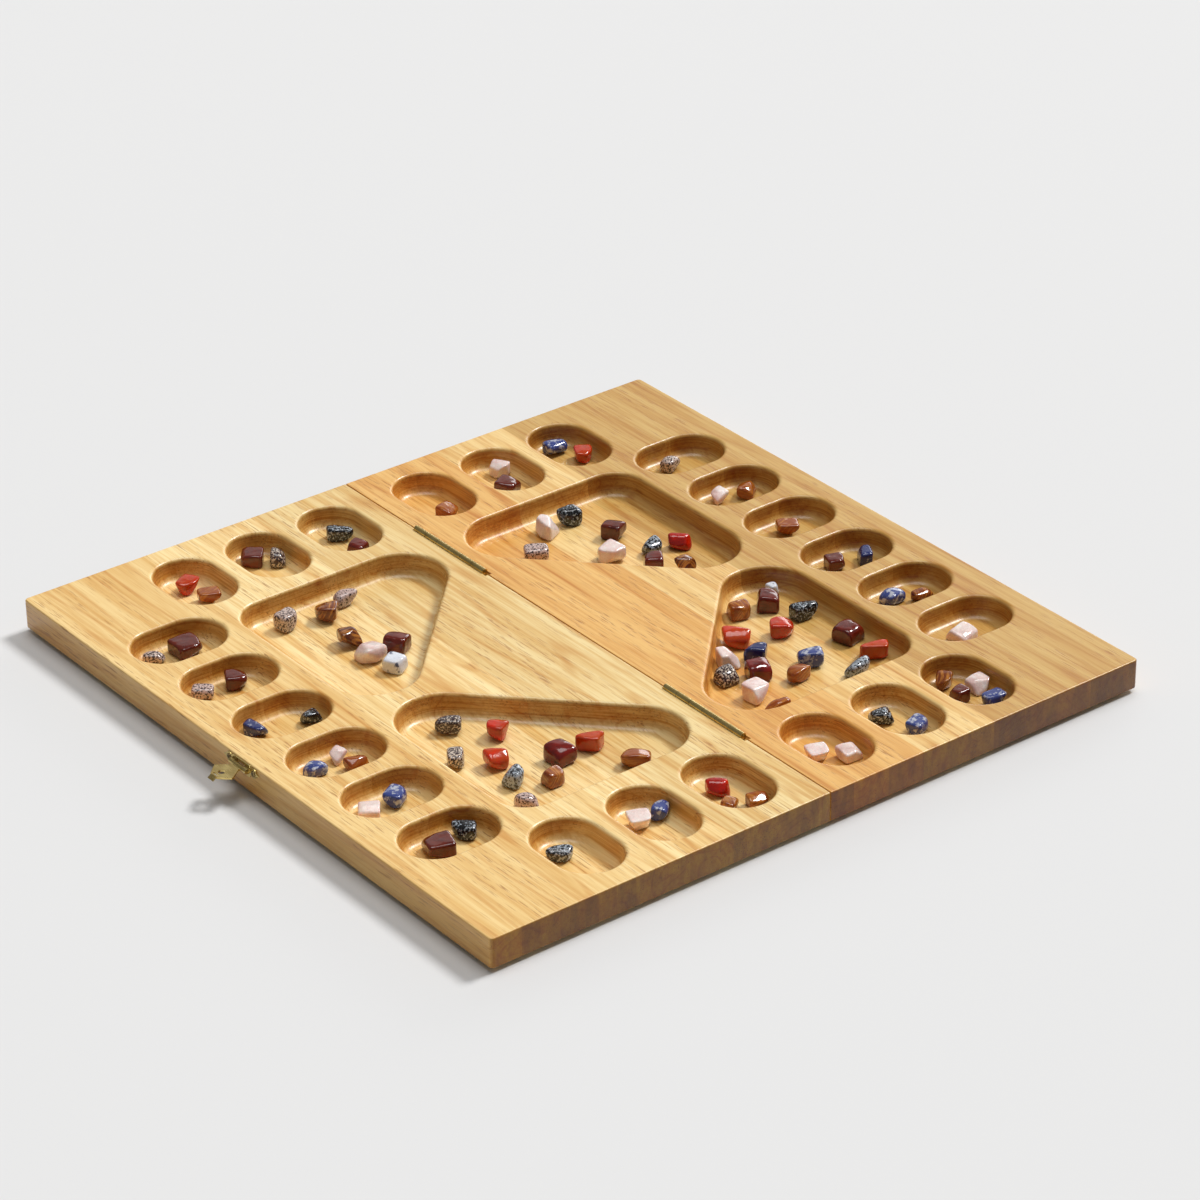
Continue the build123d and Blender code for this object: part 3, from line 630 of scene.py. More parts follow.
def board_levels():
    """Insets and levels of the rings: a rounded back edge, then a rounded face edge."""
    levels = [(BACK_ROUND + FLAT_LEAD, FLAT_LEAD, BOARD_BACK)]
    for k in range(EDGE_STEPS + 1):
        angle = QUARTER * (1 - k / EDGE_STEPS)
        bend, rise = 1 - math.cos(angle), 1 - math.sin(angle)
        levels.append((BACK_ROUND * bend, SEAM_BACK_ROUND * bend, BOARD_BACK + BACK_ROUND * rise))
    for k in range(EDGE_STEPS + 1):
        angle = QUARTER * k / EDGE_STEPS
        bend, rise = 1 - math.cos(angle), 1 - math.sin(angle)
        levels.append((FACE_ROUND * bend, SEAM_ROUND * bend, BOARD_TOP - FACE_ROUND * rise))
    return levels + [(FACE_ROUND + FLAT_LEAD, SEAM_ROUND + FLAT_LEAD, BOARD_TOP)]


print("rings on each board:", len(board_levels()))

# %% Join the rings, the back, the face and the hollows
def mesh_of(bm, name):
    """Hands a bmesh on as a plain mesh."""
    mesh = bpy.data.meshes.new(name)
    bm.to_mesh(mesh)
    bm.free()
    return mesh


def board_mesh(side, name):
    bm = bmesh.new()
    for hollow in hollows[side]:
        bm.from_mesh(hollow.data)
        bpy.data.objects.remove(hollow)
    bmesh.ops.reverse_faces(bm, faces=bm.faces)
    loose = [edge for edge in bm.edges if edge.is_boundary]
    rims = [edge for edge in loose if edge.verts[0].co.z > BOARD_TOP - RIM_RADIUS]
    bmesh.ops.holes_fill(bm, edges=[edge for edge in loose if edge not in rims], sides=0)
    rings = [[bm.verts.new(point) for point in board_ring(side, *level)] for level in board_levels()]
    for low, high in zip(rings, rings[1:]):
        for k in range(len(low)):
            following = (k + 1) % len(low)
            bm.faces.new((low[k], low[following], high[following], high[k]))
    bm.faces.new(rings[0][::-1])
    outer = [bm.edges.get((a, b)) for a, b in zip(rings[-1], rings[-1][1:] + rings[-1][:1])]
    bmesh.ops.triangle_fill(bm, edges=rims + outer, use_beauty=True, normal=(0, 0, 1))
    return mesh_of(bm, name)


BOARDS = {
    -1: ("lid", "lid_rubberwood_board", "pale_rubberwood"),
    1: ("base", "base_rubberwood_board", "orange_rubberwood"),
}
boards = {side: new_object(name, board_mesh(side, name)) for side, (_, name, _) in BOARDS.items()}
for board in boards.values():
    print(board.name, len(board.data.polygons), "faces")

# %% [markdown]
# ## Hinge recesses
# Each hinge is let into the seam: a shallow mortise takes its plate and a round groove takes its
# barrel. They could be built into the rings, but these cuts have plain sharp corners, so here a
# Boolean is the right tool.

# %% Cutters for the recesses
HINGE_SPACING = 220 * MM
HINGE_LENGTH = 63.5 * MM
HINGE_AXIS = axis_height["fold"]
PLATE_DROP = 12 * MM
PLATE_THICKNESS = 0.9 * MM
MORTISE_CLEARANCE = 0.15 * MM
GROOVE_RADIUS = 2.05 * MM
GROOVE_SIDES = 48
GROOVE_NEAR_END = 35.25 * MM
GROOVE_FAR_END = 32.45 * MM
BOARD_CREASE = 35  # degrees: edges sharper than this stay sharp
hinge_middles = (HINGE_SPACING / 2, -HINGE_SPACING / 2)


def recess_cutters(middle):
    """The mortise for both plates and the groove for the barrel, as two closed solids."""
    width = 2 * (SEAM_EDGE + PLATE_THICKNESS)
    size = (width, HINGE_LENGTH + 2 * MORTISE_CLEARANCE, PLATE_DROP + MORTISE_CLEARANCE)
    mortise, groove = bmesh.new(), bmesh.new()
    place = Matrix.Translation((SEAM, middle, HINGE_AXIS - size[2] / 2))
    bmesh.ops.create_cube(mortise, size=1, matrix=place @ Matrix.Diagonal((*size, 1)))
    place = Matrix.Translation((SEAM, middle + (GROOVE_FAR_END - GROOVE_NEAR_END) / 2, HINGE_AXIS))
    bmesh.ops.create_cone(
        groove, cap_ends=True, segments=GROOVE_SIDES, radius1=GROOVE_RADIUS, radius2=GROOVE_RADIUS,
        depth=GROOVE_NEAR_END + GROOVE_FAR_END, matrix=place @ Matrix.Rotation(QUARTER, 4, "X"),
    )
    return [new_object("recess", mesh_of(bm, "recess")) for bm in (mortise, groove)]


print("hinges at", [middle / MM for middle in hinge_middles], "mm")

# %% Cut the recesses
def bake(piece):
    """Applies a piece's modifiers and leaves a plain mesh."""
    shape = plain_mesh(piece)
    piece.modifiers.clear()
    piece.data = shape


def crease(piece, degrees):
    piece.data.set_sharp_from_angle(angle=math.radians(degrees))


for board in boards.values():
    for cutter in [cutter for middle in hinge_middles for cutter in recess_cutters(middle)]:
        cut = board.modifiers.new("Recess", "BOOLEAN")
        cut.solver = "MANIFOLD"
        cut.object = cutter
        bake(board)
        bpy.data.objects.remove(cutter)
    crease(board, BOARD_CREASE)
    print(board.name, "after cutting:", len(board.data.polygons), "faces")

# %% [markdown]
# ## Hand over the boards
# The finish darkens the walls that the router has cut, with painted shade and painted warm bounce
# light, and with the router's rings and the sticks' end grain. It could guess them from their depth
# alone, but it would then catch the board's outer edges too. So each point is marked with how far
# down a hollow it lies. After that, a board rides on its body and stands for the plain board of the
# model.

# %% Mark what the router has cut
DEEP_ENOUGH = 3 * MM  # below the face, where the mark is full
EDGE_BAND = 4 * MM
FIELD = HALF_SIDE - EDGE_BAND


def depth_mark(place):
    inside = EDGE_BAND < abs(place.x - SEAM) < FIELD and abs(place.y) < FIELD
    return min(max((BOARD_TOP - place.z) / DEEP_ENOUGH, 0.0), 1.0) if inside else 0.0


def set_finish(piece, finish):
    piece.data.materials.clear()
    piece.data.materials.append(finish)


for side, (body, _, wood_slot) in BOARDS.items():
    board = boards[side]
    mark = board.data.attributes.new("routed", "FLOAT", "POINT")
    mark.data.foreach_set("value", [depth_mark(vert.co) for vert in board.data.vertices])
    set_finish(board, finishes[side])
    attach(board, body)
    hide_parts(body + "_board")
print("finished boards:", [board.name for board in boards.values()])

# %% [markdown]
# ## Tumbled stones
# The stones are chips and pebbles that a tumbling drum has worn smooth. The solid model has a plain
# block for each, in its place. Those could be subdivided, but they would all wear into eggs. Only
# their places, sizes and turns are read from the model, and each gets a better shape made to fit.

# %% Take a node's solids apart
DOUBLES = 0.01 * MM  # corners nearer than this are the same corner


def whole_piece(node):
    """A node's solids as one clean mesh, with doubled corners merged."""
    bm = bmesh.new()
    bm.from_mesh(frame["nodes"][node].data)
    bmesh.ops.remove_doubles(bm, verts=bm.verts, dist=DOUBLES)
    return bm


def islands(node):
    """The corners of each separate solid of a node."""
    bm = whole_piece(node)
    bm.verts.index_update()
    waiting = set(bm.verts)
    while waiting:
        found, open_ends = [], [min(waiting, key=lambda vert: vert.index)]
        waiting.discard(open_ends[0])
        while open_ends:
            vert = open_ends.pop()
            found.append(vert.co.copy())
            for edge in vert.link_edges:
                other = edge.other_vert(vert)
                if other in waiting:
                    waiting.discard(other)
                    open_ends.append(other)
        yield found
    bm.free()


jaspers = list(islands("base_jasper_stones"))
print("jaspers on the base:", len(jaspers))

# %% Where each stone lies
def resting_place(corners):
    """Middle, half size and turn about Z of one stone."""
    mean = sum(corners, Vector()) / len(corners)
    spread = [(c.x - mean.x, c.y - mean.y) for c in corners]
    xx, yy, xy = (sum(f) for f in zip(*((x * x, y * y, x * y) for x, y in spread)))
    turn = math.atan2(2 * xy, xx - yy) / 2
    local = [Matrix.Rotation(-turn, 3, "Z") @ (c - mean) for c in corners]
    low = Vector([min(c[k] for c in local) for k in range(3)])
    high = Vector([max(c[k] for c in local) for k in range(3)])
    middle = mean + Matrix.Rotation(turn, 3, "Z") @ ((low + high) / 2)
    return middle, (high - low) / 2, turn


def stone_points(node):
    """One point for each stone, which carries the stone's half size and turn."""
    middles, halves, turns = zip(*map(resting_place, islands(node)))
    return point_cloud(node, middles, half_size=halves, turn=turns)


half_size = resting_place(jaspers[0])[1]
print("the first is", [round(2 * side / MM, 1) for side in half_size], "mm")

# %% [markdown]
# ## The shape of a stone
# A chip starts as a rough block with a few corners struck off, and wear rounds every edge alike. It
# could be sculpted, but ninety times over. As a rule it is short: each direction out of a stone's
# middle is stopped by whichever flat it meets first, and a high power blends neighbouring flats as
# wear does. A ball on every point gets flats drawn from the stone's own number.

# %% A ball on every point, which remembers its directions
CHOPS = 5  # corners struck off each stone
BALL_DETAIL = 5  # 1 is a plain icosahedron, and each step more divides its faces


def stored(tree, geometry, label, value, kind):
    sockets = {"Geometry": geometry, "Name": label, "Value": value}
    return step(tree, "GeometryNodeStoreNamedAttribute", sockets, data_type=kind, domain="POINT")


def random_value(tree, kind, low, high, number, seed):
    node = put(tree, "FunctionNodeRandomValue", {"ID": number, "Seed": seed}, data_type=kind)
    low_socket, high_socket, result_socket = {"FLOAT": (2, 3, 1), "FLOAT_VECTOR": (0, 1, 0)}[kind]
    feed(tree, node, {low_socket: low, high_socket: high})
    return node.outputs[result_socket]


gem_tree, given, finished = geometry_tree(
    "Tumbled stones", spread=1.0, sharpness=6.0, shallow_chop=1.0, deep_chop=0.7,
    unevenness=0.5 * MM, lump_size=5 * MM, seed=7, finish=None,
)
place = step(gem_tree, "GeometryNodeInputPosition")
points = stored(gem_tree, given["Geometry"], "middle", place, "FLOAT_VECTOR")
points = stored(gem_tree, points, "number", step(gem_tree, "GeometryNodeInputIndex"), "INT")
ball = step(gem_tree, "GeometryNodeMeshIcoSphere", {"Radius": 1.0, "Subdivisions": BALL_DETAIL})
ball = stored(gem_tree, ball, "direction", place, "FLOAT_VECTOR")
skin = step(gem_tree, "GeometryNodeInstanceOnPoints", {"Points": points, "Instance": ball})
skin = step(gem_tree, "GeometryNodeRealizeInstances", {"Geometry": skin})
print("stone tree so far:", len(gem_tree.nodes), "nodes")

# %% Flats that stop each direction
direction = named(gem_tree, "direction", "FLOAT_VECTOR")
number = named(gem_tree, "number", "INT")
sides = parts_of(gem_tree, direction)
stops = [calc(gem_tree, "ABSOLUTE", sides[axis]) for axis in "XYZ"]
for chop in range(CHOPS):
    seed = calc(gem_tree, "ADD", given["Seed"], float(chop))
    aim = random_value(gem_tree, "FLOAT_VECTOR", (-1, -1, -1), (1, 1, 1), number, seed)
    aim = vector(gem_tree, "NORMALIZE", aim)
    toward = put(gem_tree, "ShaderNodeVectorMath", {0: direction, 1: aim}, operation="DOT_PRODUCT")
    far = random_value(gem_tree, "FLOAT", given["Deep chop"], given["Shallow chop"], number, seed)
    stop = calc(gem_tree, "DIVIDE", toward.outputs["Value"], far)
    stops.append(calc(gem_tree, "MAXIMUM", stop, 0.0))
total = 0.0
for stop in stops:
    total = calc(gem_tree, "ADD", total, calc(gem_tree, "POWER", stop, given["Sharpness"]))
reach = calc(gem_tree, "POWER", total, calc(gem_tree, "DIVIDE", -1.0, given["Sharpness"]))
shape = vector(gem_tree, "SCALE", direction, Scale=reach)
shape = vector(gem_tree, "MULTIPLY", shape, named(gem_tree, "half_size", "FLOAT_VECTOR"))
sockets = {"X": given["Spread"], "Y": given["Spread"], "Z": 1.0}
shape = vector(gem_tree, "MULTIPLY", shape, step(gem_tree, "ShaderNodeCombineXYZ", sockets))
sockets = {"Vector": shape, "Angle": named(gem_tree, "turn", "FLOAT")}
shape = step(gem_tree, "ShaderNodeVectorRotate", sockets, rotation_type="Z_AXIS")
shape = vector(gem_tree, "ADD", shape, named(gem_tree, "middle", "FLOAT_VECTOR"))
skin = step(gem_tree, "GeometryNodeSetPosition", {"Geometry": skin, "Position": shape})
print("flats on each stone:", len(stops))

# %% Lumps, a number for the finish, and no leftovers
UNMOVED = 0.6  # the noise that leaves the skin where it is; most is lower, so wear takes off more
stone_number = random_value(gem_tree, "FLOAT", 0.0, 1.0, number, given["Seed"])
skin = stored(gem_tree, skin, "stone_number", stone_number, "FLOAT")
per_size = calc(gem_tree, "DIVIDE", 1.0, given["Lump size"])
lumps = step(gem_tree, "ShaderNodeTexNoise", {"Vector": place, "Scale": per_size, "Detail": 1.0})
push = calc(gem_tree, "SUBTRACT", lumps, UNMOVED)
push = calc(gem_tree, "MULTIPLY", push, given["Unevenness"])
move = vector(gem_tree, "SCALE", step(gem_tree, "GeometryNodeInputNormal"), Scale=push)
skin = step(gem_tree, "GeometryNodeSetPosition", {"Geometry": skin, "Offset": move})
for label in ("direction", "middle", "half_size", "turn", "number"):
    skin = step(gem_tree, "GeometryNodeRemoveAttribute", {"Geometry": skin, "Name": label})
skin = step(gem_tree, "GeometryNodeSetShadeSmooth", {"Geometry": skin})
end_tree(gem_tree, skin, given["Finish"], finished)

# %% [markdown]
# ## Colours of the stones
# Every kind of gemstone here is broken up by something: blots, veins, bands or specks. Eight
# separate materials would repeat each other. One shader group makes the mottling, turned and moved
# by a stone's own number so that no two stones match, and each kind places it with its own scales.

# %% The shared mottling group
MOTTLE_MOVE = (2.1, 5.3, 3.7)  # from one stone's noise to the next
mottle, given, result = shader_group(
    "stone mottling",
    {"Scale": 200.0, "Stretch": (1.0, 1.0, 1.0), "Low": 0.4, "High": 0.6, "Shift": 0.0},
    {"Mask": 0.0, "Grain": 0.0, "Number": 0.0},
)
own_number = put(mottle, "ShaderNodeAttribute", attribute_name="stone_number").outputs["Fac"]
turn = vector(mottle, "SCALE", MOTTLE_MOVE, Scale=own_number)
moved = vector(mottle, "ADD", object_place(mottle), turn)
sockets = {"Vector": moved, "Rotation": turn}
spun = step(mottle, "ShaderNodeVectorRotate", sockets, rotation_type="EULER_XYZ")
spun = vector(mottle, "MULTIPLY", spun, given["Stretch"])
sockets = {"Vector": spun, "Scale": given["Scale"], "Detail": 4.0, "Roughness": 0.6}
blots = step(mottle, "ShaderNodeTexNoise", sockets)
fine = step(mottle, "ShaderNodeTexNoise", {"Vector": spun, "Scale": 1400.0, "Detail": 2.0})
shift = calc(mottle, "MULTIPLY", calc(mottle, "SUBTRACT", own_number, 0.5), given["Shift"])
mask = remap(mottle, calc(mottle, "ADD", blots, shift), given["Low"], given["High"])
feed(mottle, result, {"Mask": mask, "Grain": fine, "Number": own_number})
print("mottling group:", len(mottle.nodes), "nodes")

# %% [markdown]
# ## Eight kinds of stone
# Jasper, quartz and the rest share one polish: a fairly smooth stone under a thin bright coat. They
# differ in their colours, so a table holds those, and one function makes all eight. Light runs some
# way into quartz, carnelian and howlite. A see-through material would show that too, but slowly and
# with noise; subsurface light is enough at this size.

# %% The polish that all stones share
GRIT = srgb(190, 180, 175)


def gemstone(name, plain, spotted, tint, pattern):
    """Polished stone: a tint that varies by stone, broken up by spots and then by fine grain."""
    material, tree, shader = new_material(name)
    mottling = put(tree, "ShaderNodeGroup", pattern, node_tree=mottle).outputs
    grain = mottling["Grain"]
    colour = mix(tree, remap(tree, mottling["Number"], 0.3, 0.7), srgb(*plain), srgb(*tint))
    colour = mix(tree, mottling["Mask"], colour, srgb(*spotted))
    colour = shaded(tree, remap(tree, grain, 0.3, 0.75, 0.0, 0.35), colour, GRIT)
    feed(tree, shader, {
        "Base Color": colour, "Roughness": remap(tree, grain, 0.3, 0.7, 0.10, 0.22),
        "Normal": bump(tree, grain, strength=0.08, distance=0.2 * MM),
        "Specular IOR Level": 0.35, "Coat Weight": 0.5, "Coat Roughness": 0.06,
    })
    return material


print("tint of the grit:", [round(part, 2) for part in GRIT[:3]])

# %% Colours and patterns of the eight kinds
COLOURS = {  # plain, spotted and tint
    "jasper": ((126, 22, 10), (74, 12, 8), (104, 34, 16)),
    "rose_quartz": ((236, 214, 208), (250, 242, 236), (228, 196, 190)),
    "howlite": ((246, 244, 244), (92, 100, 122), (228, 232, 240)),
    "speckled": ((204, 178, 170), (58, 42, 44), (218, 202, 184)),
    "snowflake": ((18, 18, 22), (166, 176, 186), (28, 28, 34)),
    "sodalite": ((30, 38, 92), (184, 188, 200), (58, 72, 136)),
    "tiger_eye": ((92, 40, 16), (186, 118, 44), (150, 72, 20)),
    "carnelian": ((160, 6, 2), (222, 34, 8), (190, 66, 14)),
}
PATTERNS = {
    "jasper": {"Scale": 160.0, "Low": 0.42, "High": 0.72},
    "rose_quartz": {"Scale": 120.0, "Low": 0.4, "High": 0.7},
    "howlite": {"Scale": 260.0, "Low": 0.58, "High": 0.65},
    "speckled": {"Scale": 950.0, "Low": 0.47, "High": 0.54, "Shift": 0.14},
    "snowflake": {"Scale": 760.0, "Low": 0.505, "High": 0.55, "Shift": 0.12},
    "sodalite": {"Scale": 300.0, "Low": 0.55, "High": 0.65, "Shift": 0.18},
    "tiger_eye": {"Scale": 110.0, "Low": 0.46, "High": 0.64, "Stretch": (1.0, 7.0, 1.0)},
    "carnelian": {"Scale": 130.0, "Low": 0.46, "High": 0.78},
}
gems = {kind: gemstone(kind, *colours, PATTERNS[kind]) for kind, colours in COLOURS.items()}
print("kinds of stone:", list(gems))

# %% Light that runs into a stone
GLOW = {  # weight, depth, reach of red, green and blue light
    "rose_quartz": (0.5, 2.5 * MM, (1.0, 0.7, 0.6)),
    "carnelian": (0.4, 2.0 * MM, (1.0, 0.25, 0.1)),
    "howlite": (0.2, 1.0 * MM, (1.0, 0.9, 0.8)),
}
for kind, values in GLOW.items():
    tree = gems[kind].node_tree
    labels = ("Subsurface Weight", "Subsurface Scale", "Subsurface Radius")
    feed(tree, tree.nodes["Principled BSDF"], dict(zip(labels, values)))
print("light runs into:", list(GLOW))

# %% [markdown]
# ## Ninety stones
# One object for each stone would be ninety rows to keep in order, and one for all would mix their
# finishes. The solid model has a node for each kind on each board, so each of those sixteen gets one
# piece. Quartz breaks into blocks with sharp corners and the speckled stones roll into pebbles, so
# every kind has its own chops.

# %% Sixteen pieces of stones
SEED_STEP = 20  # leaves room for a seed for every chop
CUT_SIZES = ("Spread", "Sharpness", "Shallow chop", "Deep chop")
CUTS = {
    "jasper": (0.94, 8.0, 1.4, 0.95), "rose_quartz": (0.95, 10.0, 1.2, 0.62),
    "howlite": (0.95, 6.0, 1.4, 1.0), "speckled": (1.0, 5.0, 1.2, 0.9),
    "snowflake": (1.0, 5.0, 1.15, 0.85), "sodalite": (1.0, 6.0, 1.2, 0.9),
    "tiger_eye": (1.0, 7.0, 1.1, 0.7), "carnelian": (1.0, 7.0, 1.15, 0.7),
}
for body in ("base", "lid"):
    for order, (kind, cut) in enumerate(CUTS.items()):
        node = f"{body}_{kind}_stones"
        values = {**dict(zip(CUT_SIZES, cut)), "Seed": SEED_STEP * order, "Finish": gems[kind]}
        stones = run_tree(stone_points(node), gem_tree, f"{body}_tumbled_{kind}", values)
        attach(stones, body)
        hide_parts(node)

# %% [markdown]
# ## Brass
# The hinges and the clasp are stamped brass that has dulled to olive, a little brighter where
# fingers and edges rub it. One flat yellow metal would look like plastic. So a shared group blends a
# bright and a dull tone in soft patches and roughens the surface with grime, and three finishes use
# it with tones of their own.

# %% Tarnished brass
tarnish, given, result = shader_group(
    "brass tarnish",
    {"Bright": (0.5, 0.4, 0.2, 1.0), "Dull": (0.2, 0.15, 0.08, 1.0)},
    {"Color": (1.0, 1.0, 1.0, 1.0), "Roughness": 0.5, "Height": 0.0},
)
patches = noise(tarnish, object_place(tarnish), (420, 140, 420), detail=3.0, roughness=0.55)
feed(tarnish, result, {
    "Color": mix(tarnish, remap(tarnish, patches, 0.35, 0.65), given["Bright"], given["Dull"]),
    "Roughness": remap(tarnish, patches, 0.3, 0.7, 0.20, 0.36),
    "Height": noise(tarnish, object_place(tarnish), (1800,) * 3, detail=3.0, roughness=0.6),
})


def brass(name, bright, dull):
    material, tree, shader = new_material(name)
    sockets = {"Bright": srgb(*bright), "Dull": srgb(*dull)}
    worn = put(tree, "ShaderNodeGroup", sockets, node_tree=tarnish).outputs
    feed(tree, shader, {
        "Base Color": worn["Color"], "Roughness": worn["Roughness"],
        "Normal": bump(tree, worn["Height"], strength=0.15, distance=0.1 * MM), "Metallic": 1.0,
    })
    return material


dull_brass = brass("tarnished_brass", bright=(222, 198, 130), dull=(186, 160, 98))
rubbed_brass = brass("rubbed_brass", bright=(224, 200, 136), dull=(170, 144, 88))
screw_brass = brass("dark_screw_brass", bright=(190, 166, 112), dull=(110, 92, 60))
print("brass finishes:", [finish.name for finish in (dull_brass, rubbed_brass, screw_brass)])

# %% [markdown]
# ## Softened brass pieces
# The plates, the flap and the stud already have their true shapes in the solid model, so modelling
# them again would only risk errors. But an edge that catches no light looks false. So each is copied,
# its loose triangles are joined into whole faces, and a bevel rounds the edges. Hardened normals keep
# the flat faces looking flat.

# %% Copy a piece and round its edges
FLAT_ANGLE = 2.0  # degrees: triangles that meet flatter than this are one face
BEVEL_ANGLE = 30.0  # degrees: edges sharper than this are rounded
BEVEL_STEPS = 2


def softened(node, name, width):
    bm = whole_piece(node)
    angle = math.radians(FLAT_ANGLE)
    bmesh.ops.dissolve_limit(bm, angle_limit=angle, verts=bm.verts, edges=bm.edges)
    piece = new_object(name, mesh_of(bm, name))
    piece.data.shade_smooth()
    crease(piece, BEVEL_ANGLE)
    soften = piece.modifiers.new("Soften", "BEVEL")
    soften.harden_normals = True
    soften.width = width
    soften.segments = BEVEL_STEPS
    soften.limit_method = "ANGLE"
    soften.angle_limit = math.radians(BEVEL_ANGLE)
    soften.use_clamp_overlap = True
    bake(piece)
    return piece


print("edges sharper than", BEVEL_ANGLE, "degrees are rounded")

# %% Soften and finish each piece
STAMPED = {  # body and width of the rounding
    "far_hinge_base_plate": ("base", 0.25), "near_hinge_base_plate": ("base", 0.25),
    "far_hinge_lid_plate": ("lid", 0.25), "near_hinge_lid_plate": ("lid", 0.25),
    "clasp_plate": ("lid", 0.15), "clasp_flap": ("flap", 0.1), "catch_plate": ("base", 0.15),
    "catch_stud": ("base", 0.15),
}
for node, (body, width) in STAMPED.items():
    piece = softened(node, "brass_" + node, width * MM)
    rubbed = node == "catch_stud"
    set_finish(piece, rubbed_brass if rubbed else dull_brass)
    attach(piece, body)
    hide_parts(node)
    print(piece.name, len(piece.data.polygons), "faces")
for node in ("far_hinge_pin", "near_hinge_pin", "clasp_pin"):
    set_finish(frame["nodes"][node], rubbed_brass)

# %% [markdown]
# ## Rubber
# The feet are black moulded rubber: not quite black, dull, and finely pitted. A flat black would
# lose their form, because there would be nothing for light to catch. One fine noise varies the
# colour, the roughness and the surface together, as real pits do.

# %% Rubber for the feet
foot_rubber, tree, shader = new_material("foot_rubber")
pitted = noise(tree, object_place(tree), (1500,) * 3, detail=3.0)
feed(tree, shader, {
    "Base Color": mix(tree, pitted, srgb(18, 18, 20), srgb(40, 38, 38)),
    "Roughness": remap(tree, pitted, 0.3, 0.7, 0.45, 0.65),
    "Normal": bump(tree, pitted, strength=0.2, distance=0.2 * MM),
})
print("finish:", foot_rubber.name)

# %% [markdown]
# ## Turned shapes
# A foot and a screw's head are both turned: one profile, run round an axis. A spin in mesh code would
# make one of them. A tree with the radius, the height and the roundings as inputs makes both, so a
# group sweeps the profile round a circle and closes it at the axis.

# %% The group that turns a profile
TO_AXIS = 0.995  # of the radius: the profile stops just short, and the gap is merged away
AXIS_JOIN = 0.012  # of the radius
TURNED_STEPS = 6  # points round each corner of the profile
TURNED_SIDES = 40
lathe, given, finished = geometry_tree(
    "Turned shape", radius=5 * MM, height=2 * MM, taper=0.3 * MM, top_round=0.3 * MM,
    low_round=0.8 * MM,
)
centre = calc(lathe, "MULTIPLY", given["Radius"], -TO_AXIS)
narrower = calc(lathe, "MULTIPLY", given["Taper"], -1)
corners = [(centre, 0.0), (0.0, 0.0), (narrower, given["Height"]), (centre, given["Height"])]
radii = [0.0, given["Top round"], given["Low round"], 0.0]
profile = rounded_profile(lathe, corners, radii, TURNED_STEPS)
sockets = {"Resolution": TURNED_SIDES, "Radius": given["Radius"]}
circle = step(lathe, "GeometryNodeCurvePrimitiveCircle", sockets)
near_axis = calc(lathe, "MULTIPLY", given["Radius"], AXIS_JOIN)
lathe.links.new(swept(lathe, circle, profile, near_axis), finished)
print("turned shape tree:", len(lathe.nodes), "nodes")

# %% [markdown]
# ## Feet
# Eight rubber bumpers lift the open boards off the table. They could be copied by hand, but a tree
# puts one turned shape on each place it is given. The places and the height come from the plain feet
# of the solid model.

# %% The tree that puts feet on points
FOOT_RADIUS = 7.75 * MM
TURNED_CREASE = 40  # degrees
feet_tree, given, finished = geometry_tree(
    "Feet", radius=FOOT_RADIUS, height=2.5 * MM, taper=0.5 * MM, low_round=1.0 * MM, finish=None
)
sockets = {label: given[label] for label in ("Radius", "Height", "Taper", "Low round")}
foot = step(feet_tree, "GeometryNodeGroup", sockets, node_tree=lathe)
foot = step(feet_tree, "GeometryNodeSetShadeSmooth", {"Geometry": foot})
feet = step(feet_tree, "GeometryNodeInstanceOnPoints", {"Points": given["Geometry"], "Instance": foot})
end_tree(feet_tree, feet, given["Finish"], finished)

# %% Eight feet
def outward(piece):
    """Turns every face of a closed piece outwards."""
    bm = bmesh.new()
    bm.from_mesh(piece.data)
    bmesh.ops.recalc_face_normals(bm, faces=bm.faces)
    bm.to_mesh(piece.data)
    bm.free()


for body in ("base", "lid"):
    low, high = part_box(f"{body}_feet")
    xs, ys = ((low[k] + FOOT_RADIUS, high[k] - FOOT_RADIUS) for k in (0, 1))
    places = point_cloud(f"{body}_foot_places", [(x, y, high[2]) for x in xs for y in ys])
    values = {"Radius": FOOT_RADIUS, "Height": high[2] - low[2], "Finish": foot_rubber}
    feet = run_tree(places, feet_tree, f"{body}_rubber_feet", values)
    outward(feet)
    crease(feet, TURNED_CREASE)
    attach(feet, body)
    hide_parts(f"{body}_feet")

# %% [markdown]
# ## Screws
# Small cross-slotted screws hold the hinge plates and the clasp. They are too small for the solid
# model. Sixteen could be cut in mesh code, but they are all alike. So a tree cuts a cross into one
# turned head, and copies it to points that carry a turn of their own: each screw faces out of its
# plate.

# %% The tree that drives screws
TOP_SHARE = 0.8  # of the height: how much of a head is domed
SLOT_SHARE = 1.15  # of the radius: how long a slot is
screw_tree, given, finished = geometry_tree(
    "Screws", radius=1.7 * MM, height=0.5 * MM, slot_width=0.45 * MM, slot_depth=0.35 * MM, finish=None
)
dome = calc(screw_tree, "MULTIPLY", given["Height"], TOP_SHARE)
sockets = {"Radius": given["Radius"], "Height": given["Height"], "Top round": dome}
sockets = {**sockets, "Taper": 0.0, "Low round": 0.0}
head = step(screw_tree, "GeometryNodeGroup", sockets, node_tree=lathe)
length = calc(screw_tree, "MULTIPLY", given["Radius"], SLOT_SHARE)
deep = calc(screw_tree, "MULTIPLY", given["Slot depth"], 2.0)
cross = put(screw_tree, "GeometryNodeMeshBoolean", operation="UNION", solver="EXACT")
for x, y in ((length, given["Slot width"]), (given["Slot width"], length)):
    size = step(screw_tree, "ShaderNodeCombineXYZ", {"X": x, "Y": y, "Z": deep})
    feed(screw_tree, cross, {"Mesh 2": step(screw_tree, "GeometryNodeMeshCube", {"Size": size})})
sockets = {"Mesh 1": head, "Mesh 2": cross.outputs[0]}
slotted = step(screw_tree, "GeometryNodeMeshBoolean", sockets, operation="DIFFERENCE", solver="EXACT")
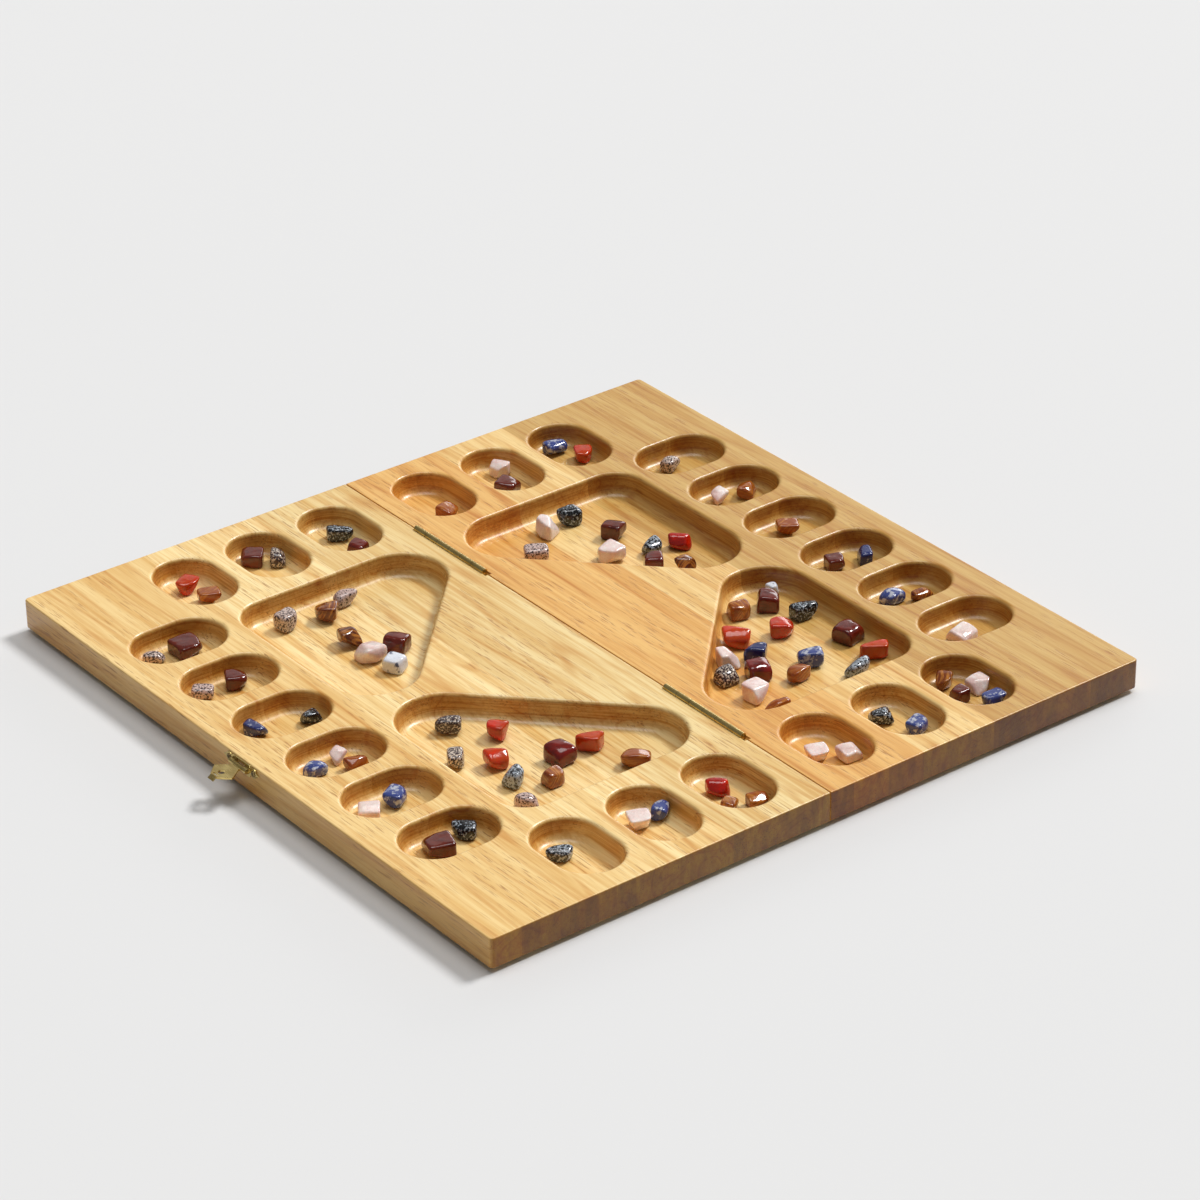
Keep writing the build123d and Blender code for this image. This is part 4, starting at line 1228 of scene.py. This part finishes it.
turn = named(screw_tree, "turn", "FLOAT_VECTOR")
sockets = {"Points": given["Geometry"], "Instance": slotted, "Rotation": turn}
driven = step(screw_tree, "GeometryNodeInstanceOnPoints", sockets)
end_tree(screw_tree, driven, given["Finish"], finished)

# %% [markdown]
# ## Where the screws sit
# Each hinge plate has three screws and each of the clasp's two plates has one at either end. A screw
# stops turning where it is tight, so real ones never line up: every screw gets a twist of its own.

# %% Sizes of the screws, and how one is turned
HINGE_SCREW_SPACING = 22 * MM
HINGE_SCREW_RADIUS = 2.1 * MM
HINGE_SCREW_STAND = 0.15 * MM
HINGE_SCREW_DROP = 7.1 * MM
HINGE_SLOT_DEPTH = 0.5 * MM
EAR_SCREW_RADIUS = 1.7 * MM
EAR_SCREW_HEIGHT = 0.5 * MM
EAR_CENTRE = 10.9 * MM
EAR_THICKNESS = 0.8 * MM
HINGE_TWIST, EAR_TWIST = 0.5, 0.3  # radians; a screw's place in its row adds to it


def screws(name, body, sites, sizes):
    """Screws at (x, y, z, facing, turn about the axis); facing is +1 or -1 along X."""
    turns = []
    for _, _, _, facing, spin in sites:
        out = Matrix.Rotation(facing * QUARTER, 3, "Y") @ Matrix.Rotation(spin, 3, "Z")
        turns.append(tuple(out.to_euler()))
    places = point_cloud(name, [site[:3] for site in sites], turn=turns)
    made = run_tree(places, screw_tree, name, {"Finish": screw_brass, **sizes})
    outward(made)
    made.data.shade_smooth()
    crease(made, TURNED_CREASE)
    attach(made, body)


print("a hinge screw is", 2 * HINGE_SCREW_RADIUS / MM, "mm across")

# %% Drive the screws
catch_low, catch_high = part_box("catch_plate")
EARS = {  # the outer face and the height of the plate with two ears
    "base": (base_high[0] + EAR_THICKNESS + EAR_SCREW_HEIGHT, (catch_low[2] + catch_high[2]) / 2),
    "lid": (lid_low[0] - EAR_THICKNESS - EAR_SCREW_HEIGHT, axis_height["clasp_swing"]),
}
for body, side in (("base", 1), ("lid", -1)):
    face = SEAM + side * (SEAM_EDGE - HINGE_SCREW_STAND)
    level = HINGE_AXIS - HINGE_SCREW_DROP
    sites = [
        (face, middle + k * HINGE_SCREW_SPACING, level, -side, HINGE_TWIST + k + side)
        for middle in hinge_middles for k in (-1, 0, 1)
    ]
    sizes = {"Radius": HINGE_SCREW_RADIUS, "Height": HINGE_SCREW_STAND, "Slot depth": HINGE_SLOT_DEPTH}
    screws(f"{body}_hinge_screws", body, sites, sizes)
    outer, level = EARS[body]
    sites = [(outer, end * EAR_CENTRE, level, side, EAR_TWIST + end) for end in (-1, 1)]
    sizes = {"Radius": EAR_SCREW_RADIUS, "Height": EAR_SCREW_HEIGHT}
    screws(f"{body}_clasp_screws", body, sites, sizes)

# %% [markdown]
# ## The table
# The board lies on a plain pale sheet. A wall behind it could hide the horizon, but then every view
# from behind would meet it. A very wide sheet fills the view from all sides.

# %% Floor
FLOOR_REACH = 30.0
PAPER_GREY = (0.72, 0.72, 0.72, 1)
floor_mesh = bmesh.new()
bmesh.ops.create_grid(floor_mesh, x_segments=1, y_segments=1, size=FLOOR_REACH)
floor = new_object("floor", mesh_of(floor_mesh, "floor"))
paper, tree, shader = new_material("paper_floor")
feed(tree, shader, {"Base Color": PAPER_GREY, "Roughness": 0.9})
set_finish(floor, paper)
print("floor reaches", FLOOR_REACH, "m each way")

# %% [markdown]
# ## Light
# Glossy stones and rounded rims show by what they reflect. A soft light from the right draws the
# short shadows, and a wide one overhead opens them. Area lights near by would leave the far floor
# dark, so these two are set far away. Two low softboxes behind the board give the rims and the
# stones their shine, and the sky fills in the rest.

# %% Lights
AIM = Vector((SEAM, 0, BOARD_TOP))


def softbox(name, direction, distance, size, power):
    """An area light that faces the board; direction is from the board to the light."""
    light = bpy.data.lights.new(name, "AREA")
    light.shape = "RECTANGLE"
    light.size, light.size_y = size
    light.energy = power
    lamp = new_object(name, light)
    lamp.location = AIM + Vector(direction).normalized() * distance
    lamp.rotation_euler = (AIM - lamp.location).to_track_quat("-Z", "Y").to_euler()


def far_softbox(name, direction, spread, strength):
    """A soft light that lights the whole table alike; spread is its width as an angle."""
    light = bpy.data.lights.new(name, "SUN")
    light.angle = math.radians(spread)
    light.energy = strength
    lamp = new_object(name, light)
    lamp.rotation_euler = Vector(direction).to_track_quat("Z", "Y").to_euler()


far_softbox("key_light", (0.63, -0.03, 0.77), spread=15.0, strength=2.28)
far_softbox("overhead_light", (0.1, 0.1, 1.0), spread=33.0, strength=1.06)
softbox("rim_light", (0.86, 0.46, 0.26), distance=9.0, size=(6.0, 2.0), power=110.0)
softbox("backdrop_light", (0.6, 0.68, 0.42), distance=9.0, size=(9.0, 4.5), power=50.0)
world = bpy.data.worlds.new("studio")
world.use_nodes = True
sky = {"Color": (1.0, 0.99, 0.97, 1), "Strength": 0.19}
feed(world.node_tree, world.node_tree.nodes["Background"], sky)
bpy.context.scene.world = world
bpy.context.scene.view_settings.view_transform = "Standard"
print("lights:", [light.name for light in bpy.data.lights])

# %% [markdown]
# ## Camera
# A long lens from well back keeps the square board from looking stretched. The camera looks down at
# a corner, where the pits, the stores and both hinges show at once, and leans by less than a degree.

# %% Camera
CAMERA_PLACE = (-1.22644, -1.63327, 1.18939)
LENS, SENSOR = 133.94, 36.0  # mm
LEAN = -0.653  # degrees
LOOK_AT = Vector((0.03771, 0.01534, 0.0195))
lens = bpy.data.cameras.new("camera")
lens.lens = LENS
lens.sensor_width = SENSOR
camera = new_object("camera", lens)
camera.location = CAMERA_PLACE
look = (LOOK_AT - camera.location).to_track_quat("-Z", "Y")
camera.rotation_euler = (look.to_matrix() @ Matrix.Rotation(math.radians(LEAN), 3, "Z")).to_euler()
bpy.context.scene.camera = camera
print(f"camera {(LOOK_AT - camera.location).length:.2f} m away")
